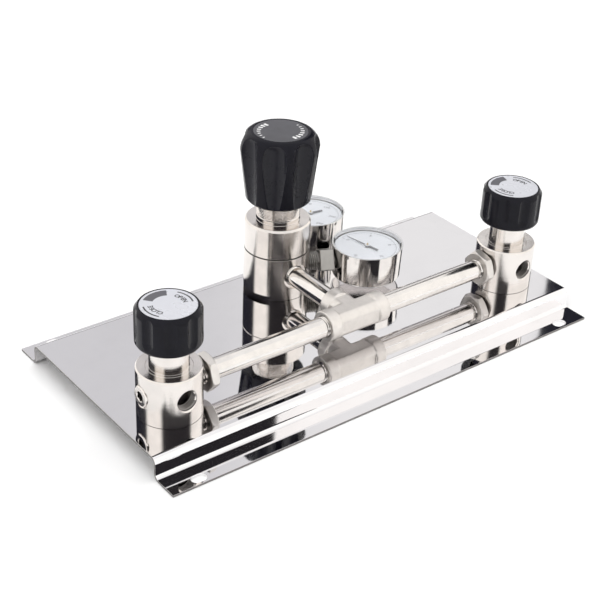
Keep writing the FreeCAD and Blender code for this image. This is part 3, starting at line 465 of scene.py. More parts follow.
def rounded(corners: Sequence[Corner], closed: bool, steps: int = 4) -> list[Vector]:
    """The points of an outline with its corners rounded by arcs.

    Args:
        corners: the outline's corners in order.
        closed: whether the last corner joins the first.
        steps: the straight pieces in each arc.

    Returns:
        Points in the XZ plane.
    """
    points = []
    count = len(corners)
    for index, corner in enumerate(corners):
        here = Vector((corner.across, 0, corner.up))
        at_end = not closed and index in (0, count - 1)
        if corner.radius == 0 or at_end:
            points.append(here)
            continue
        before = corners[index - 1]
        after = corners[(index + 1) % count]
        back = (Vector((before.across, 0, before.up)) - here).normalized()
        on = (Vector((after.across, 0, after.up)) - here).normalized()
        half = back.angle(on) / 2
        middle = here + (back + on).normalized() * (corner.radius / math.sin(half))
        start = here + back * (corner.radius / math.tan(half)) - middle
        turn = math.pi - 2 * half
        swing = start.rotation_difference(here + on * (corner.radius / math.tan(half)) - middle)
        for step in range(steps + 1):
            points.append(middle + Matrix.Rotation(turn * step / steps, 3, swing.axis) @ start)
    return points


class Solid:
    """A mesh in the making, in millimetres."""

    def __init__(self) -> None:
        """Starts empty."""
        self.bm = bmesh.new()

    @classmethod
    def turned(
        cls,
        corners: Sequence[Corner],
        segments: int = 192,
        steps: int = 4,
        row: float = 0.0,
        beyond: float = 0.0,
    ) -> "Solid":
        """A solid of revolution about +Z.

        Args:
            corners: its outline, open where it starts and ends on the axis.
            segments: the flats round the axis.
            steps: the straight pieces in each rounded corner.
            row: the longest edge kept along the outline; 0 keeps them all.
            beyond: the radius from which rows are divided.

        Returns:
            The solid.
        """
        solid = cls()
        on_axis = corners[0].across == 0 and corners[-1].across == 0
        verts = [solid.bm.verts.new(p) for p in rounded(corners, not on_axis, steps)]
        pairs = list(zip(verts, verts[1:]))
        if not on_axis:
            pairs.append((verts[-1], verts[0]))
        edges = [solid.bm.edges.new(pair) for pair in pairs]
        outer = [e for e in edges if row and min(v.co.x for v in e.verts) > beyond and e.calc_length() > row]
        for edge in outer:
            cuts = math.ceil(edge.calc_length() / row) - 1
            bmesh.ops.subdivide_edges(solid.bm, edges=[edge], cuts=cuts)
        solid.swept(math.tau / TURN_SECTORS, segments // TURN_SECTORS)
        sector = [*solid.bm.verts, *solid.bm.edges, *solid.bm.faces]
        for place in range(1, TURN_SECTORS):
            copied = bmesh.ops.duplicate(solid.bm, geom=sector)["geom"]
            bmesh.ops.rotate(
                solid.bm,
                verts=[v for v in copied if isinstance(v, bmesh.types.BMVert)],
                cent=(0, 0, 0),
                matrix=Matrix.Rotation(math.tau * place / TURN_SECTORS, 3, "Z"),
            )
        return solid.joined()

    @classmethod
    def rod(cls, radius: float, bottom: float, top: float, segments: int = 96) -> "Solid":
        """A plain round bar about +Z."""
        corners = [Corner(0, bottom), Corner(radius, bottom), Corner(radius, top), Corner(0, top)]
        return cls.turned(corners, segments)

    @classmethod
    def disc(cls, radius: float, bottom: float, top: float, inset: float, drop: float) -> "Solid":
        """A round plate about +Z whose top edge is cut back by an inset and a drop."""
        return cls.turned(
            [
                Corner(0, bottom),
                Corner(radius, bottom),
                Corner(radius, top - drop),
                Corner(radius - inset, top),
                Corner(0, top),
            ]
        )

    def swept(self, angle: float, steps: int, climb: float = 0.0) -> "Solid":
        """Spins all that the solid holds about +Z.

        Args:
            angle: the whole angle, in radians.
            steps: the pieces that it is made in.
            climb: the rise of each piece.

        Returns:
            This solid, swept.
        """
        bmesh.ops.spin(
            self.bm,
            geom=[*self.bm.verts, *self.bm.edges],
            cent=(0, 0, 0),
            axis=(0, 0, 1),
            dvec=(0, 0, climb),
            angle=angle,
            steps=steps,
            use_merge=False,
            use_normal_flip=False,
            use_duplicate=False,
        )
        return self

    @classmethod
    def extruded(cls, points: Sequence[Vector], along: Vector) -> "Solid":
        """A flat outline, extruded along a vector from where it lies."""
        solid = cls()
        solid.bm.faces.new([solid.bm.verts.new(p) for p in points])
        return solid.raised(along)

    @classmethod
    def hexagon(cls, flats: float, bottom: float, top: float) -> "Solid":
        """A hexagonal bar with a corner on +X."""
        corner = flats / math.sqrt(3)
        sides = 6
        points = [heading(360 / sides * step) * corner + raised_to(bottom) for step in range(sides)]
        return cls.extruded(points, raised_to(top - bottom))

    @classmethod
    def box(cls, size: Vector, middle: Vector) -> "Solid":
        """A box about a point."""
        solid = cls()
        bmesh.ops.create_cube(solid.bm, size=1.0)
        bmesh.ops.scale(solid.bm, verts=solid.bm.verts, vec=size)
        return solid.moved(Matrix.Translation(middle))

    @classmethod
    def ball(cls, radius: float, middle: Vector) -> "Solid":
        """A sphere about a point."""
        solid = cls()
        bmesh.ops.create_uvsphere(solid.bm, u_segments=40, v_segments=20, radius=radius)
        return solid.moved(Matrix.Translation(middle))

    @classmethod
    def thread(cls, base: float, crest: float, pitch: float, start: float, stop: float) -> "Solid":
        """The ridge of a screw thread about +Z, a helix with a pointed section.

        Args:
            base: the radius of the wall that the ridge stands on.
            crest: the ridge's own radius, more than the base outside and less inside a bore.
            pitch: the rise in one turn.
            start: the height where the ridge starts.
            stop: the height where it ends.

        Returns:
            The ridge, closed at both ends.
        """
        solid = cls()
        per_turn = 36
        sunk_share = 0.2
        crest_from, crest_to, foot_to = 0.40, 0.56, 0.96
        turns = (stop - start) / pitch - 1
        sunk = base - (crest - base) * sunk_share
        section = [
            (sunk, start),
            (base, start),
            (crest, start + pitch * crest_from),
            (crest, start + pitch * crest_to),
            (base, start + pitch * foot_to),
            (sunk, start + pitch * foot_to),
        ]
        verts = [solid.bm.verts.new((r, 0, z)) for r, z in section]
        for pair in zip(verts, verts[1:] + verts[:1]):
            solid.bm.edges.new(pair)
        steps = max(per_turn, round(turns * per_turn))
        solid.swept(math.tau * steps / per_turn, steps, pitch / per_turn)
        open_edges = [e for e in solid.bm.edges if e.is_boundary]
        bmesh.ops.holes_fill(solid.bm, edges=open_edges, sides=0)
        return solid.joined()

    @classmethod
    def arc_band(cls, inner: float, outer: float, first: float, last: float, thickness: float) -> "Solid":
        """A flat band on a circle, between two radii and two angles in degrees."""
        solid = cls()
        degrees_a_step = 3
        steps = max(2, round(abs(last - first) / degrees_a_step))
        way = heading(first)
        solid.bm.edges.new([solid.bm.verts.new(way * radius) for radius in (inner, outer)])
        solid.swept(math.radians(last - first), steps)
        return solid.raised(raised_to(thickness))

    @classmethod
    def words(cls, text: str, size: float, thickness: float, boldness: float = 0.0) -> "Solid":
        """Raised lettering, centred on the origin, that reads along +X."""
        curve = bpy.data.curves.new("lettering", "FONT")
        curve.body = text
        curve.size = size
        curve.align_x = "CENTER"
        curve.align_y = "CENTER"
        curve.resolution_u = 3
        curve.offset = boldness * size
        holder = bpy.data.objects.new("lettering", curve)
        mesh = bpy.data.meshes.new_from_object(holder)
        solid = cls()
        solid.bm.from_mesh(mesh)
        bpy.data.objects.remove(holder)
        bpy.data.curves.remove(curve)
        bpy.data.meshes.remove(mesh)
        bmesh.ops.remove_doubles(solid.bm, verts=solid.bm.verts, dist=SAME_POINT)
        return solid.raised(raised_to(thickness))

    def raised(self, along: Vector) -> "Solid":
        """Gives flat faces a thickness along a vector and keeps the faces that they started from."""
        first = list(self.bm.faces)
        raised = bmesh.ops.extrude_face_region(self.bm, geom=first, use_keep_orig=True)
        verts = [v for v in raised["geom"] if isinstance(v, bmesh.types.BMVert)]
        bmesh.ops.translate(self.bm, verts=verts, vec=along)
        return self.joined()

    def joined(self) -> "Solid":
        """Merges doubled points and turns the faces outwards."""
        bmesh.ops.remove_doubles(self.bm, verts=self.bm.verts, dist=SAME_POINT)
        bmesh.ops.recalc_face_normals(self.bm, faces=self.bm.faces)
        return self

    def moved(self, placement: Matrix) -> "Solid":
        """Moves the solid."""
        bmesh.ops.transform(self.bm, matrix=placement, verts=self.bm.verts)
        return self

    def with_others(self, *others: "Solid") -> "Solid":
        """Adds other solids as they stand."""
        for other in others:
            mesh = other.to_mesh("joint")
            self.bm.from_mesh(mesh)
            bpy.data.meshes.remove(mesh)
        return self

    def to_mesh(self, name: str) -> bpy.types.Mesh:
        """A mesh of the solid as it stands, in millimetres."""
        mesh = bpy.data.meshes.new(name)
        self.bm.to_mesh(mesh)
        return mesh

    def combined(self, operation: str, *others: "Solid") -> "Solid":
        """Cuts, joins or intersects with other solids.

        Args:
            operation: DIFFERENCE, UNION or INTERSECT.
            others: the solids that act on this one, in turn.

        Returns:
            This solid, changed.
        """
        for other in others:
            base = in_scene("base", self.to_mesh("base"))
            tool = in_scene("tool", other.to_mesh("tool"))
            change = base.modifiers.new("change", "BOOLEAN")
            change.operation = operation
            change.solver = "EXACT"
            change.object = tool
            self._take_over(base)
            bpy.data.meshes.remove(tool.data)
        return self.joined()

    def _take_over(self, holder: bpy.types.Object) -> None:
        """Takes the shape that an object has with its modifiers, and removes the object."""
        depsgraph = bpy.context.evaluated_depsgraph_get()
        result = bpy.data.meshes.new_from_object(holder.evaluated_get(depsgraph))
        self.bm.clear()
        self.bm.from_mesh(result)
        for mesh in (result, holder.data):
            bpy.data.meshes.remove(mesh)

    def cut(self, *others: "Solid") -> "Solid":
        """Cuts other solids out."""
        return self.combined("DIFFERENCE", *others)

    def reshaped(self, change: Callable[[Vector], Vector]) -> "Solid":
        """Moves every point by a rule."""
        for vert in self.bm.verts:
            vert.co = change(vert.co)
        return self

    def worn(self, voxel: float, passes: int = 2) -> "Solid":
        """Remeshes the solid on a fine grid and smooths it, as blasting rounds a forging's edges.

        Args:
            voxel: the size of the grid.
            passes: how many times each point moves towards its neighbours.

        Returns:
            This solid, remeshed.
        """
        holder = in_scene("worn", self.to_mesh("worn"))
        grid = holder.modifiers.new("grid", "REMESH")
        grid.mode = "VOXEL"
        grid.voxel_size = voxel
        self._take_over(holder)
        for _ in range(passes):
            bmesh.ops.smooth_vert(
                self.bm, verts=self.bm.verts, factor=0.5, use_axis_x=True, use_axis_y=True, use_axis_z=True
            )
        return self.joined()

    def softened(self, width: float, segments: int = 2, angle: float = 30.0) -> "Solid":
        """Bevels the edges that turn by more than an angle."""
        limit = math.radians(angle)
        edges = [e for e in self.bm.edges if e.is_manifold and e.calc_face_angle(0) > limit]
        bmesh.ops.bevel(
            self.bm,
            geom=edges,
            offset=width,
            offset_type="OFFSET",
            affect="EDGES",
            segments=segments,
            profile=0.5,
            material=-1,
            clamp_overlap=True,
        )
        return self.joined()

    def lined(self, inside: Callable[[Vector], bool]) -> "Solid":
        """Gives the faces whose middle lies inside a region the piece's second finish."""
        for face in self.bm.faces:
            if inside(face.calc_center_median()):
                face.material_index = 1
        return self

    def piece(
        self,
        name: str,
        body: str,
        slot: str,
        material: bpy.types.Material,
        replaces: Sequence[str] = (),
        sharp: float = 32.0,
        lining: bpy.types.Material | None = None,
    ) -> bpy.types.Object:
        """Makes the solid a piece of the object.

        Args:
            name: the piece's name.
            body: the body that it rides on.
            slot: not used.
            material: its finish.
            replaces: the nodes that it stands for.
            sharp: edges that turn by more degrees than this stay sharp.
            lining: the finish of the faces that were lined.

        Returns:
            The piece, in metres, at the origin.
        """
        bmesh.ops.scale(self.bm, verts=self.bm.verts, vec=(MM, MM, MM))
        mesh = self.to_mesh(name)
        self.bm.free()
        mesh.polygons.foreach_set("use_smooth", [True] * len(mesh.polygons))
        mesh.set_sharp_from_angle(angle=math.radians(sharp))
        mesh.materials.append(material)
        if lining:
            mesh.materials.append(lining)
        made = in_scene(name, mesh)
        weighted = made.modifiers.new("weighted_normals", "WEIGHTED_NORMAL")
        weighted.keep_sharp = True
        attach(made, body)
        if replaces:
            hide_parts(*replaces)
        log.info("%s: %d faces on %s", name, len(mesh.polygons), body)
        return made


@dataclass(frozen=True)
class Flutes:
    """Finger grooves round a knob: upright round cuts that end in a ball."""

    count: int
    radius: float
    distance: float
    ball: float
    upwards: bool
    blend: float
    slack: float = 0.05

    def wall(self, point: Vector) -> float:
        """How far from the axis the groove beside a point starts; endless where there is none."""
        past = self.ball - point.z if self.upwards else point.z - self.ball
        wide = self.radius**2 - max(0.0, past) ** 2
        pitch = math.tau / self.count
        angle = math.atan2(point.y, point.x)
        offset = angle - round(angle / pitch) * pitch
        side = self.distance * math.sin(offset)
        if side**2 >= wide:
            return math.inf
        return self.distance * math.cos(offset) - math.sqrt(wide - side**2)

    def holds(self, point: Vector) -> bool:
        """Whether a point of the cut knob lies on a groove's wall."""
        return math.hypot(point.x, point.y) > self.wall(point) - self.slack

    def __call__(self, point: Vector) -> Vector:
        """Where a point of the uncut knob lies once the grooves are cut."""
        reach = math.hypot(point.x, point.y)
        wall = self.wall(point)
        if reach == 0 or wall == math.inf:
            return point.copy()
        gap = max(0.0, 1 - abs(reach - wall) / self.blend)
        kept = min(reach, wall) - gap**2 * self.blend / 4
        share = min(1.0, kept / reach)
        return Vector((point.x * share, point.y * share, point.z))


def undercut_foot(radius: float, foot: float) -> list[Corner]:
    """The corners of a round bar's foot, cut back all round by a thin gap over the panel."""
    gap = 0.22
    reach = 1.2
    return [
        Corner(0, foot),
        Corner(radius - reach, foot),
        Corner(radius - reach, foot + gap),
        Corner(radius, foot + gap),
    ]


def bowed(start: Vector, first_pull: Vector, last_pull: Vector, stop: Vector) -> list[Corner]:
    """The corners of a curved stretch of an outline, drawn by its ends and two pulls."""
    steps = 14
    points = interpolate_bezier(start, first_pull, last_pull, stop, steps)
    return [Corner(p.x, p.z) for p in points]


def outwards(degrees: float, level: float) -> Matrix:
    """The placement that turns +Z to a heading and lifts the origin to a height."""
    return laid_along(heading(degrees), raised_to(level))


def port_cutter(
    bore: float,
    mouth: float,
    depth: float,
    degrees: float,
    level: float,
    passage: float,
    chamfer: float,
) -> Solid:
    """The cutter of a threaded port, from the body's axis outwards.

    Args:
        bore: the thread's radius.
        mouth: the distance from the axis to the face that the port opens on.
        depth: the bore's depth below that face.
        degrees: the port's direction from +X.
        level: the port's height.
        passage: the radius of the drilling behind the bore.
        chamfer: the size of the mouth's chamfer.

    Returns:
        The cutter.
    """
    corners = [
        Corner(0, 0),
        Corner(passage, 0),
        Corner(passage, mouth - depth),
        Corner(bore, mouth - depth),
        Corner(bore, mouth - chamfer),
        Corner(bore + 2 * chamfer, mouth + chamfer),
        Corner(0, mouth + chamfer),
    ]
    return Solid.turned(corners, 96).moved(outwards(degrees, level))


class Side(Enum):
    """The two ends of the panel."""

    LEFT = "left"
    RIGHT = "right"


@dataclass(frozen=True)
class PortThread:
    """The pipe thread in the ports, and how far inside them the steel carries painted shade."""

    radius: float = 6.8
    crest: float = 5.95
    pitch: float = 1.34
    depth: float = 8.5
    first_gap: float = 0.3
    oiled_from: float = 1.0
    oiled_reach: float = 8.0

    def ridge(self, mouth: float, depth: float, last_gap: float, degrees: float, level: float) -> Solid:
        """The thread's ridge in one port.

        Args:
            mouth: the distance from the body's axis to the face that the port opens on.
            depth: the bore's depth below that face.
            last_gap: how far below the face the ridge ends.
            degrees: the port's direction from +X.
            level: the port's height.

        Returns:
            The ridge, laid in the port.
        """
        start = mouth - depth + self.first_gap
        made = Solid.thread(self.radius, self.crest, self.pitch, start, mouth - last_gap)
        return made.moved(outwards(degrees, level))

    def line(self, body: Solid, mouth: float, level: float) -> None:
        """Gives the insides of a body's ports the body's second finish, painted shade."""
        reach = mouth - self.oiled_from
        body.lined(lambda p: math.hypot(p.x, p.y) < reach and abs(p.z - level) < self.oiled_reach)


@dataclass
class SubAssembly:
    """What every sub-assembly knows: its finishes, where it stands and how marks are laid on it."""

    finishes: Finishes

    def build(self) -> None:
        """Makes all its pieces."""
        raise NotImplementedError

    def stand_at(self, node: str) -> None:
        """Takes the upright axis of a node and the height of the ports."""
        middle = centre(node)
        self.axis = Vector((middle.x, middle.y, 0))
        self.placement = Matrix.Translation(self.axis)
        self.port_level = centre("left_pipe").z

    def mark(
        self, name: str, body: str, slot: str, ink: Finish, shapes: Sequence[Solid], placement: Matrix
    ) -> None:
        """Lays printed shapes on a surface as one thin piece.

        Args:
            name: the piece's name.
            body: the body that it rides on.
            slot: the record's material slot.
            ink: its finish.
            shapes: the printed shapes, about their own origin.
            placement: where the origin of the print lies.
        """
        printed = Solid().with_others(*shapes).moved(placement)
        printed.piece(name, body, slot, ink.material())


@dataclass
class BasePanel(SubAssembly):
    """The bent sheet: a raised table between two walls, each with an outward flange."""

    sheet: float = 1.5
    inside_bend: float = 2.8
    flange: float = 18.5
    slot_length: float = 10.0
    slot_width: float = 7.0
    slot_from_end: float = 20.5
    slot_from_wall: float = 13.6
    edge_round: float = 0.22
    sheared_band: float = 0.0275
    arc_steps: int = 16

    def build(self) -> None:
        """Bends the sheet, cuts the slots, rounds the cut edges and darkens the outer ones, partly with
        painted shade.
        """
        low_corner = low("base_panel")
        high_corner = high("base_panel")
        rise = high_corner.z
        wall = high_corner.y - self.flange
        outside_bend = self.inside_bend + self.sheet
        half = [
            Corner(high_corner.y, 0),
            Corner(high_corner.y, self.sheet),
            Corner(wall, self.sheet, self.inside_bend),
            Corner(wall, rise, outside_bend),
        ]
        under = [
            Corner(wall - self.sheet, rise - self.sheet, self.inside_bend),
            Corner(wall - self.sheet, 0, outside_bend),
        ]
        corners = half + self._mirrored(half) + [self._flipped(c) for c in under[::-1]] + under
        outline = [Vector((low_corner.x, p.x, p.z)) for p in rounded(corners, True, self.arc_steps)]
        length = high_corner.x - low_corner.x
        panel = Solid.extruded(outline, Vector((length, 0, 0)))
        panel.cut(*self._slots(low_corner, high_corner, wall))
        panel.softened(self.edge_round, segments=2, angle=60.0)
        # The outer cut edges take the darker steel: their own dull sheared grey, partly painted shade.
        edge_x = high_corner.x - self.sheared_band
        edge_y = high_corner.y - self.sheared_band
        panel.lined(lambda point: abs(point.x) > edge_x or abs(point.y) > edge_y)
        mirror = self.finishes.sheet.material()
        sheared = self.finishes.sheared.material()
        panel.piece("bent_panel", PANEL_BODY, "polished_steel", mirror, ["base_panel"], lining=sheared)

    @staticmethod
    def _flipped(corner: Corner) -> Corner:
        """A corner on the other long side."""
        return Corner(-corner.across, corner.up, corner.radius)

    def _mirrored(self, corners: Sequence[Corner]) -> list[Corner]:
        """Corners on the other long side, in the order that goes on round the outline."""
        return [self._flipped(c) for c in reversed(corners)]

    def _slots(self, low_corner: Vector, high_corner: Vector, wall: float) -> list[Solid]:
        """The cutters of the four oblong mounting holes."""
        half_length = self.slot_length / 2
        half_width = self.slot_width / 2
        ends = [(-1, -1), (1, -1), (1, 1), (-1, 1)]
        just_under_half = half_width * 0.999
        corners = [Corner(half_length * x, half_width * y, just_under_half) for x, y in ends]
        outline = [Vector((p.x, p.z, -self.sheet)) for p in rounded(corners, True, self.arc_steps)]
        cutters = []
        for x in (low_corner.x + self.slot_from_end, high_corner.x - self.slot_from_end):
            for y in (-wall - self.slot_from_wall, wall + self.slot_from_wall):
                cutter = Solid.extruded(outline, raised_to(3 * self.sheet))
                cutters.append(cutter.moved(Matrix.Translation((x, y, 0))))
        return cutters


@dataclass
class ShutOffValve(SubAssembly):
    """One shut-off valve: its body, bonnet, plug, knob and the printed disc in the knob."""

    side: Side
    pipe_side: float
    turn: float
    bar_radius: float = 20.0
    edge_chamfer: float = 0.8
    body_edge_round: float = 0.25
    bonnet_slack: float = 0.05
    bonnet_seam: float = 0.12
    bonnet_foot_radius: float = 14.0
    bonnet_foot_depth: float = 5.1
    neck_radius: float = 12.0
    neck_round: float = 0.2
    chamber_radius: float = 9.5
    chamber_depth: float = 1.5
    diaphragm: float = 0.3
    seat_radius: float = 4.05
    seat_depth: float = 1.2
    passage: float = 2.0
    spindle_bore: float = 4.05
    button_bore: float = 6.0
    button_headroom: float = 6.4
    button_collar: float = 1.0
    port_thread: PortThread = PortThread()
    port_chamfer: float = 0.9
    plug_radius: float = 6.6
    plug_slack: float = 0.05
    plug_length: float = 8.0
    plug_proud: float = 0.5
    plug_back_chamfer: float = 0.6
    plug_face_chamfer: float = 0.7
    plug_side_round: float = 0.1
    plug_face_round: float = 0.25
    plug_hexagon: float = 6.0
    plug_hexagon_depth: float = 5.0
    plug_funnel_depth: float = 1.0
    plug_funnel_foot_inset: float = 0.9
    plug_funnel_mouth: float = 0.4
    plug_funnel_rise: float = 0.3
    plug_bright_face: float = 0.6
    knob_radius: float = 20.0
    knob_foot_inset: float = 0.8
    knob_foot_rise: float = 1.4
    knob_foot_round: float = 0.4
    knob_low_round: float = 0.8
    knob_rim_inset: float = 2.2
    knob_rim_drop: float = 2.8
    knob_shoulder_round: float = 2.2
    knob_rim_round: float = 0.6
    knob_recess_round: float = 0.1
    knob_socket: float = 14.0
    knob_headroom: float = 1.6
    knob_row: float = 0.4
    knob_rows_from: float = 0.05
    groove_count: int = 9
    groove_radius: float = 7.0
    groove_depth: float = 1.35
    groove_from_foot: float = 7.2
    groove_blend: float = 0.35
    label_gap: float = 0.1
    label_chamfer: float = 0.2
    nut_pocket_radius: float = 8.5
    nut_pocket_depth: float = 7.2
    sector_print: tuple[float, ...] = (0.56, 0.90, 181, 249)
    open_print: tuple[float, ...] = (0.81, 0.865, 97, 155)
    close_print: tuple[float, ...] = (0.83, 0.885, 278, 335)
    letter_size: float = 4.1
    letter_boldness: float = 0.025
    ink_thickness: float = 0.03

    def __post_init__(self) -> None:
        """Reads the valve's place from the frame."""
        self.stand_at(self._node("bonnet"))
        self.handle = f"{self.side.value}_valve_handle"

    def _node(self, name: str) -> str:
        """The name of one of this valve's nodes."""
        return f"{self.side.value}_valve_{name}"

    def build(self) -> None:
        """Makes the body, bonnet, plug, knob and label."""
        self._body()
        self._bonnet()
        self._plug()
        self._knob()
        self._label()

    def _body(self) -> None:
        """The bar-stock body with three threaded ports and the chamber under the bonnet."""
        foot = low(self._node("body")).z
        top = high(self._node("body")).z
        ledge = top - self.bonnet_foot_depth - self.diaphragm
        floor = ledge - self.chamber_depth
        foot_bore = self.bonnet_foot_radius + self.bonnet_slack
        corners = [
            *undercut_foot(self.bar_radius, foot),
            Corner(self.bar_radius, top - self.edge_chamfer, self.body_edge_round),
            Corner(self.bar_radius - self.edge_chamfer, top, self.body_edge_round),
            Corner(foot_bore + self.bonnet_seam, top),
            Corner(foot_bore, top - self.bonnet_seam),
            Corner(foot_bore, ledge),
            Corner(self.chamber_radius, ledge),
            Corner(self.chamber_radius, floor),
            Corner(self.seat_radius, floor),
            Corner(self.seat_radius, floor - self.seat_depth),
            Corner(self.passage, floor - self.seat_depth),
            Corner(self.passage, self.port_level),
            Corner(0, self.port_level),
        ]
        body = Solid.turned(corners, 288, 3)
        thread = self.port_thread
        open_port = -90.0
        plug_bore = self.plug_radius + self.plug_slack
        ports = {open_port: thread.radius, self.pipe_side: thread.radius, self.pipe_side + 180: plug_bore}
        for degrees, bore in ports.items():
            place = (self.bar_radius, thread.depth, degrees, self.port_level)
            body.cut(port_cutter(bore, *place, self.passage, self.port_chamfer))
        # Painted shade: the port insides and the thread ridge take the dark steel.
        ridge = thread.ridge(self.bar_radius, thread.depth, self.port_chamfer, open_port, self.port_level)
        thread.line(body.with_others(ridge), self.bar_radius, self.port_level)
        body.moved(self.placement)
        finish = self.finishes.valve.material(self.axis)
        oiled = self.finishes.oiled.material(self.axis)
        node = self._node("body")
        body.piece(self._node("block"), PANEL_BODY, "turned_steel", finish, [node], lining=oiled)

    def _bonnet(self) -> None:
        """The bonnet, flush in the body, with the neck that the knob slides over."""
        top = high(self._node("body")).z
        neck_top = high(self._node("bonnet")).z
        foot = low(self._node("bonnet")).z
        bore_top = foot + self.button_headroom
        corners = [
            Corner(self.chamber_radius, foot),
            Corner(self.bonnet_foot_radius, foot),
            Corner(self.bonnet_foot_radius, top - self.bonnet_seam),
            Corner(self.bonnet_foot_radius - self.bonnet_seam, top),
            Corner(self.neck_radius, top, self.neck_round),
            Corner(self.neck_radius, neck_top - self.edge_chamfer, self.neck_round),
            Corner(self.neck_radius - self.edge_chamfer, neck_top, self.neck_round),
            Corner(self.spindle_bore, neck_top),
            Corner(self.spindle_bore, bore_top),
            Corner(self.button_bore, bore_top),
            Corner(self.button_bore, foot + self.button_collar),
        ]
        bonnet = Solid.turned(corners, 256, 3).moved(self.placement)
        finish = self.finishes.valve.material(self.axis)
        bonnet.piece(self._node("neck"), PANEL_BODY, "turned_steel", finish, [self._node("bonnet")])

    def _plug(self) -> None:
        """The socket plug in the port away from the pipe."""
        face = self.bar_radius + self.plug_proud
        back = face - self.plug_length
        corners = [
            Corner(0, back),
            Corner(self.plug_radius - self.plug_back_chamfer, back),
            Corner(self.plug_radius, back + self.plug_back_chamfer),
            Corner(self.plug_radius, face - self.plug_face_chamfer, self.plug_side_round),
            Corner(self.plug_radius - self.plug_face_chamfer, face, self.plug_face_round),
            Corner(0, face),
        ]
        socket_corner = self.plug_hexagon / math.sqrt(3)
        funnel_foot = face - self.plug_funnel_depth
        funnel_top = face + self.plug_funnel_rise
        funnel = Solid.turned(
            [
                Corner(0, funnel_foot),
                Corner(socket_corner - self.plug_funnel_foot_inset, funnel_foot),
                Corner(socket_corner + self.plug_funnel_mouth, funnel_top),
                Corner(0, funnel_top),
            ],
            96,
        )
        socket = Solid.hexagon(self.plug_hexagon, face - self.plug_hexagon_depth, face + 1)
        plug = Solid.turned(corners, 128, 3).cut(socket, funnel)
        # Painted shade: the hexagon socket's walls take the dark steel, except for a band at the face.
        dark_to = face - self.plug_bright_face
        plug.lined(lambda p: math.hypot(p.x, p.y) < socket_corner and back < p.z < dark_to)
        plug.moved(self.placement @ outwards(self.pipe_side + 180, self.port_level))
        origin = self.axis + raised_to(self.port_level)
        finish = self.finishes.valve.material(origin, Axis.X)
        oiled = self.finishes.oiled.material(origin, Axis.X)
        node = self._node("plug")
        plug.piece(self._node("socket_plug"), PANEL_BODY, "turned_steel", finish, [node], lining=oiled)

    def _knob(self) -> None:
        """The fluted black knob, open below for the neck and recessed on top."""
        foot = low(self._node("knob")).z
        top = high(self._node("knob")).z
        label_foot = low(self._node("label")).z
        socket_top = high(self._node("bonnet")).z + self.knob_headroom
        rim = self.knob_radius - self.knob_rim_inset
        recess = high(self._node("label")).x - self.axis.x + self.label_gap
        pocket_foot = label_foot - self.nut_pocket_depth
        corners = [
            Corner(self.knob_socket, foot),
            Corner(self.knob_radius - self.knob_foot_inset, foot, self.knob_foot_round),
            Corner(self.knob_radius, foot + self.knob_foot_rise, self.knob_low_round),
            Corner(self.knob_radius, top - self.knob_rim_drop, self.knob_shoulder_round),
            Corner(rim, top, self.knob_rim_round),
            Corner(recess, top, self.knob_recess_round),
            Corner(recess, label_foot),
            Corner(self.nut_pocket_radius, label_foot),
            Corner(self.nut_pocket_radius, pocket_foot),
            Corner(self.spindle_bore, pocket_foot),
            Corner(self.spindle_bore, socket_top),
            Corner(self.knob_socket, socket_top),
        ]
        knob = Solid.turned(corners, 360, 5, self.knob_row, recess + self.knob_rows_from)
        flutes = Flutes(
            count=self.groove_count,
            radius=self.groove_radius,
            distance=self.knob_radius - self.groove_depth + self.groove_radius,
            ball=foot + self.groove_from_foot,
            upwards=True,
            blend=self.groove_blend,
        )
        knob.reshaped(flutes).moved(upright(self.axis, self.turn))
        finish = self.finishes.gloss_black.material()
        node = self._node("knob")
        knob.piece(self._node("handwheel"), self.handle, "black_gloss", finish, [node], sharp=50.0)

    def _label(self) -> None:
        """The printed disc: a grey sector and the two ways to turn."""
        foot = low(self._node("label")).z
        top = high(self._node("label")).z
        radius = high(self._node("label")).x - self.axis.x
        disc = Solid.disc(radius, foot, top, self.label_chamfer, self.label_chamfer).moved(self.placement)
        finish = self.finishes.label.material(self.axis)
        disc.piece(self._node("label_disc"), self.handle, "label", finish, [self._node("label")])
        surface = upright(self.axis + raised_to(top - self.ink_thickness / 2), self.turn)
        grey = [self._arc(radius, self.sector_print)]
        self.mark(self._node("label_sector"), self.handle, "label", self.finishes.grey_ink, grey, surface)
        black = [
            self._arc(radius, self.open_print),
            self._arc(radius, self.close_print),
            *self._round_word("OPEN", radius * 0.585, middle=126, step=13.5),
            *self._round_word("CLOSE", radius * 0.615, middle=307, step=12.5),
        ]
        self.mark(self._node("label_words"), self.handle, "label", self.finishes.black_ink, black, surface)

    def _arc(self, radius: float, arc: tuple[float, ...]) -> Solid:
        """A printed arc: two shares of the disc's radius, then two angles."""
        inner, outer, first, last = arc
        return Solid.arc_band(radius * inner, radius * outer, first, last, self.ink_thickness)

    def _round_word(self, text: str, radius: float, middle: float, step: float) -> list[Solid]:
        """A word set round the disc, read clockwise with its letters' heads outwards."""
        letters = []
        for place, letter in enumerate(text):
            angle = middle + step * ((len(text) - 1) / 2 - place)
            shape = Solid.words(letter, self.letter_size, self.ink_thickness, self.letter_boldness)
            letters.append(shape.moved(upright(heading(angle) * radius, angle - 90)))
        return letters


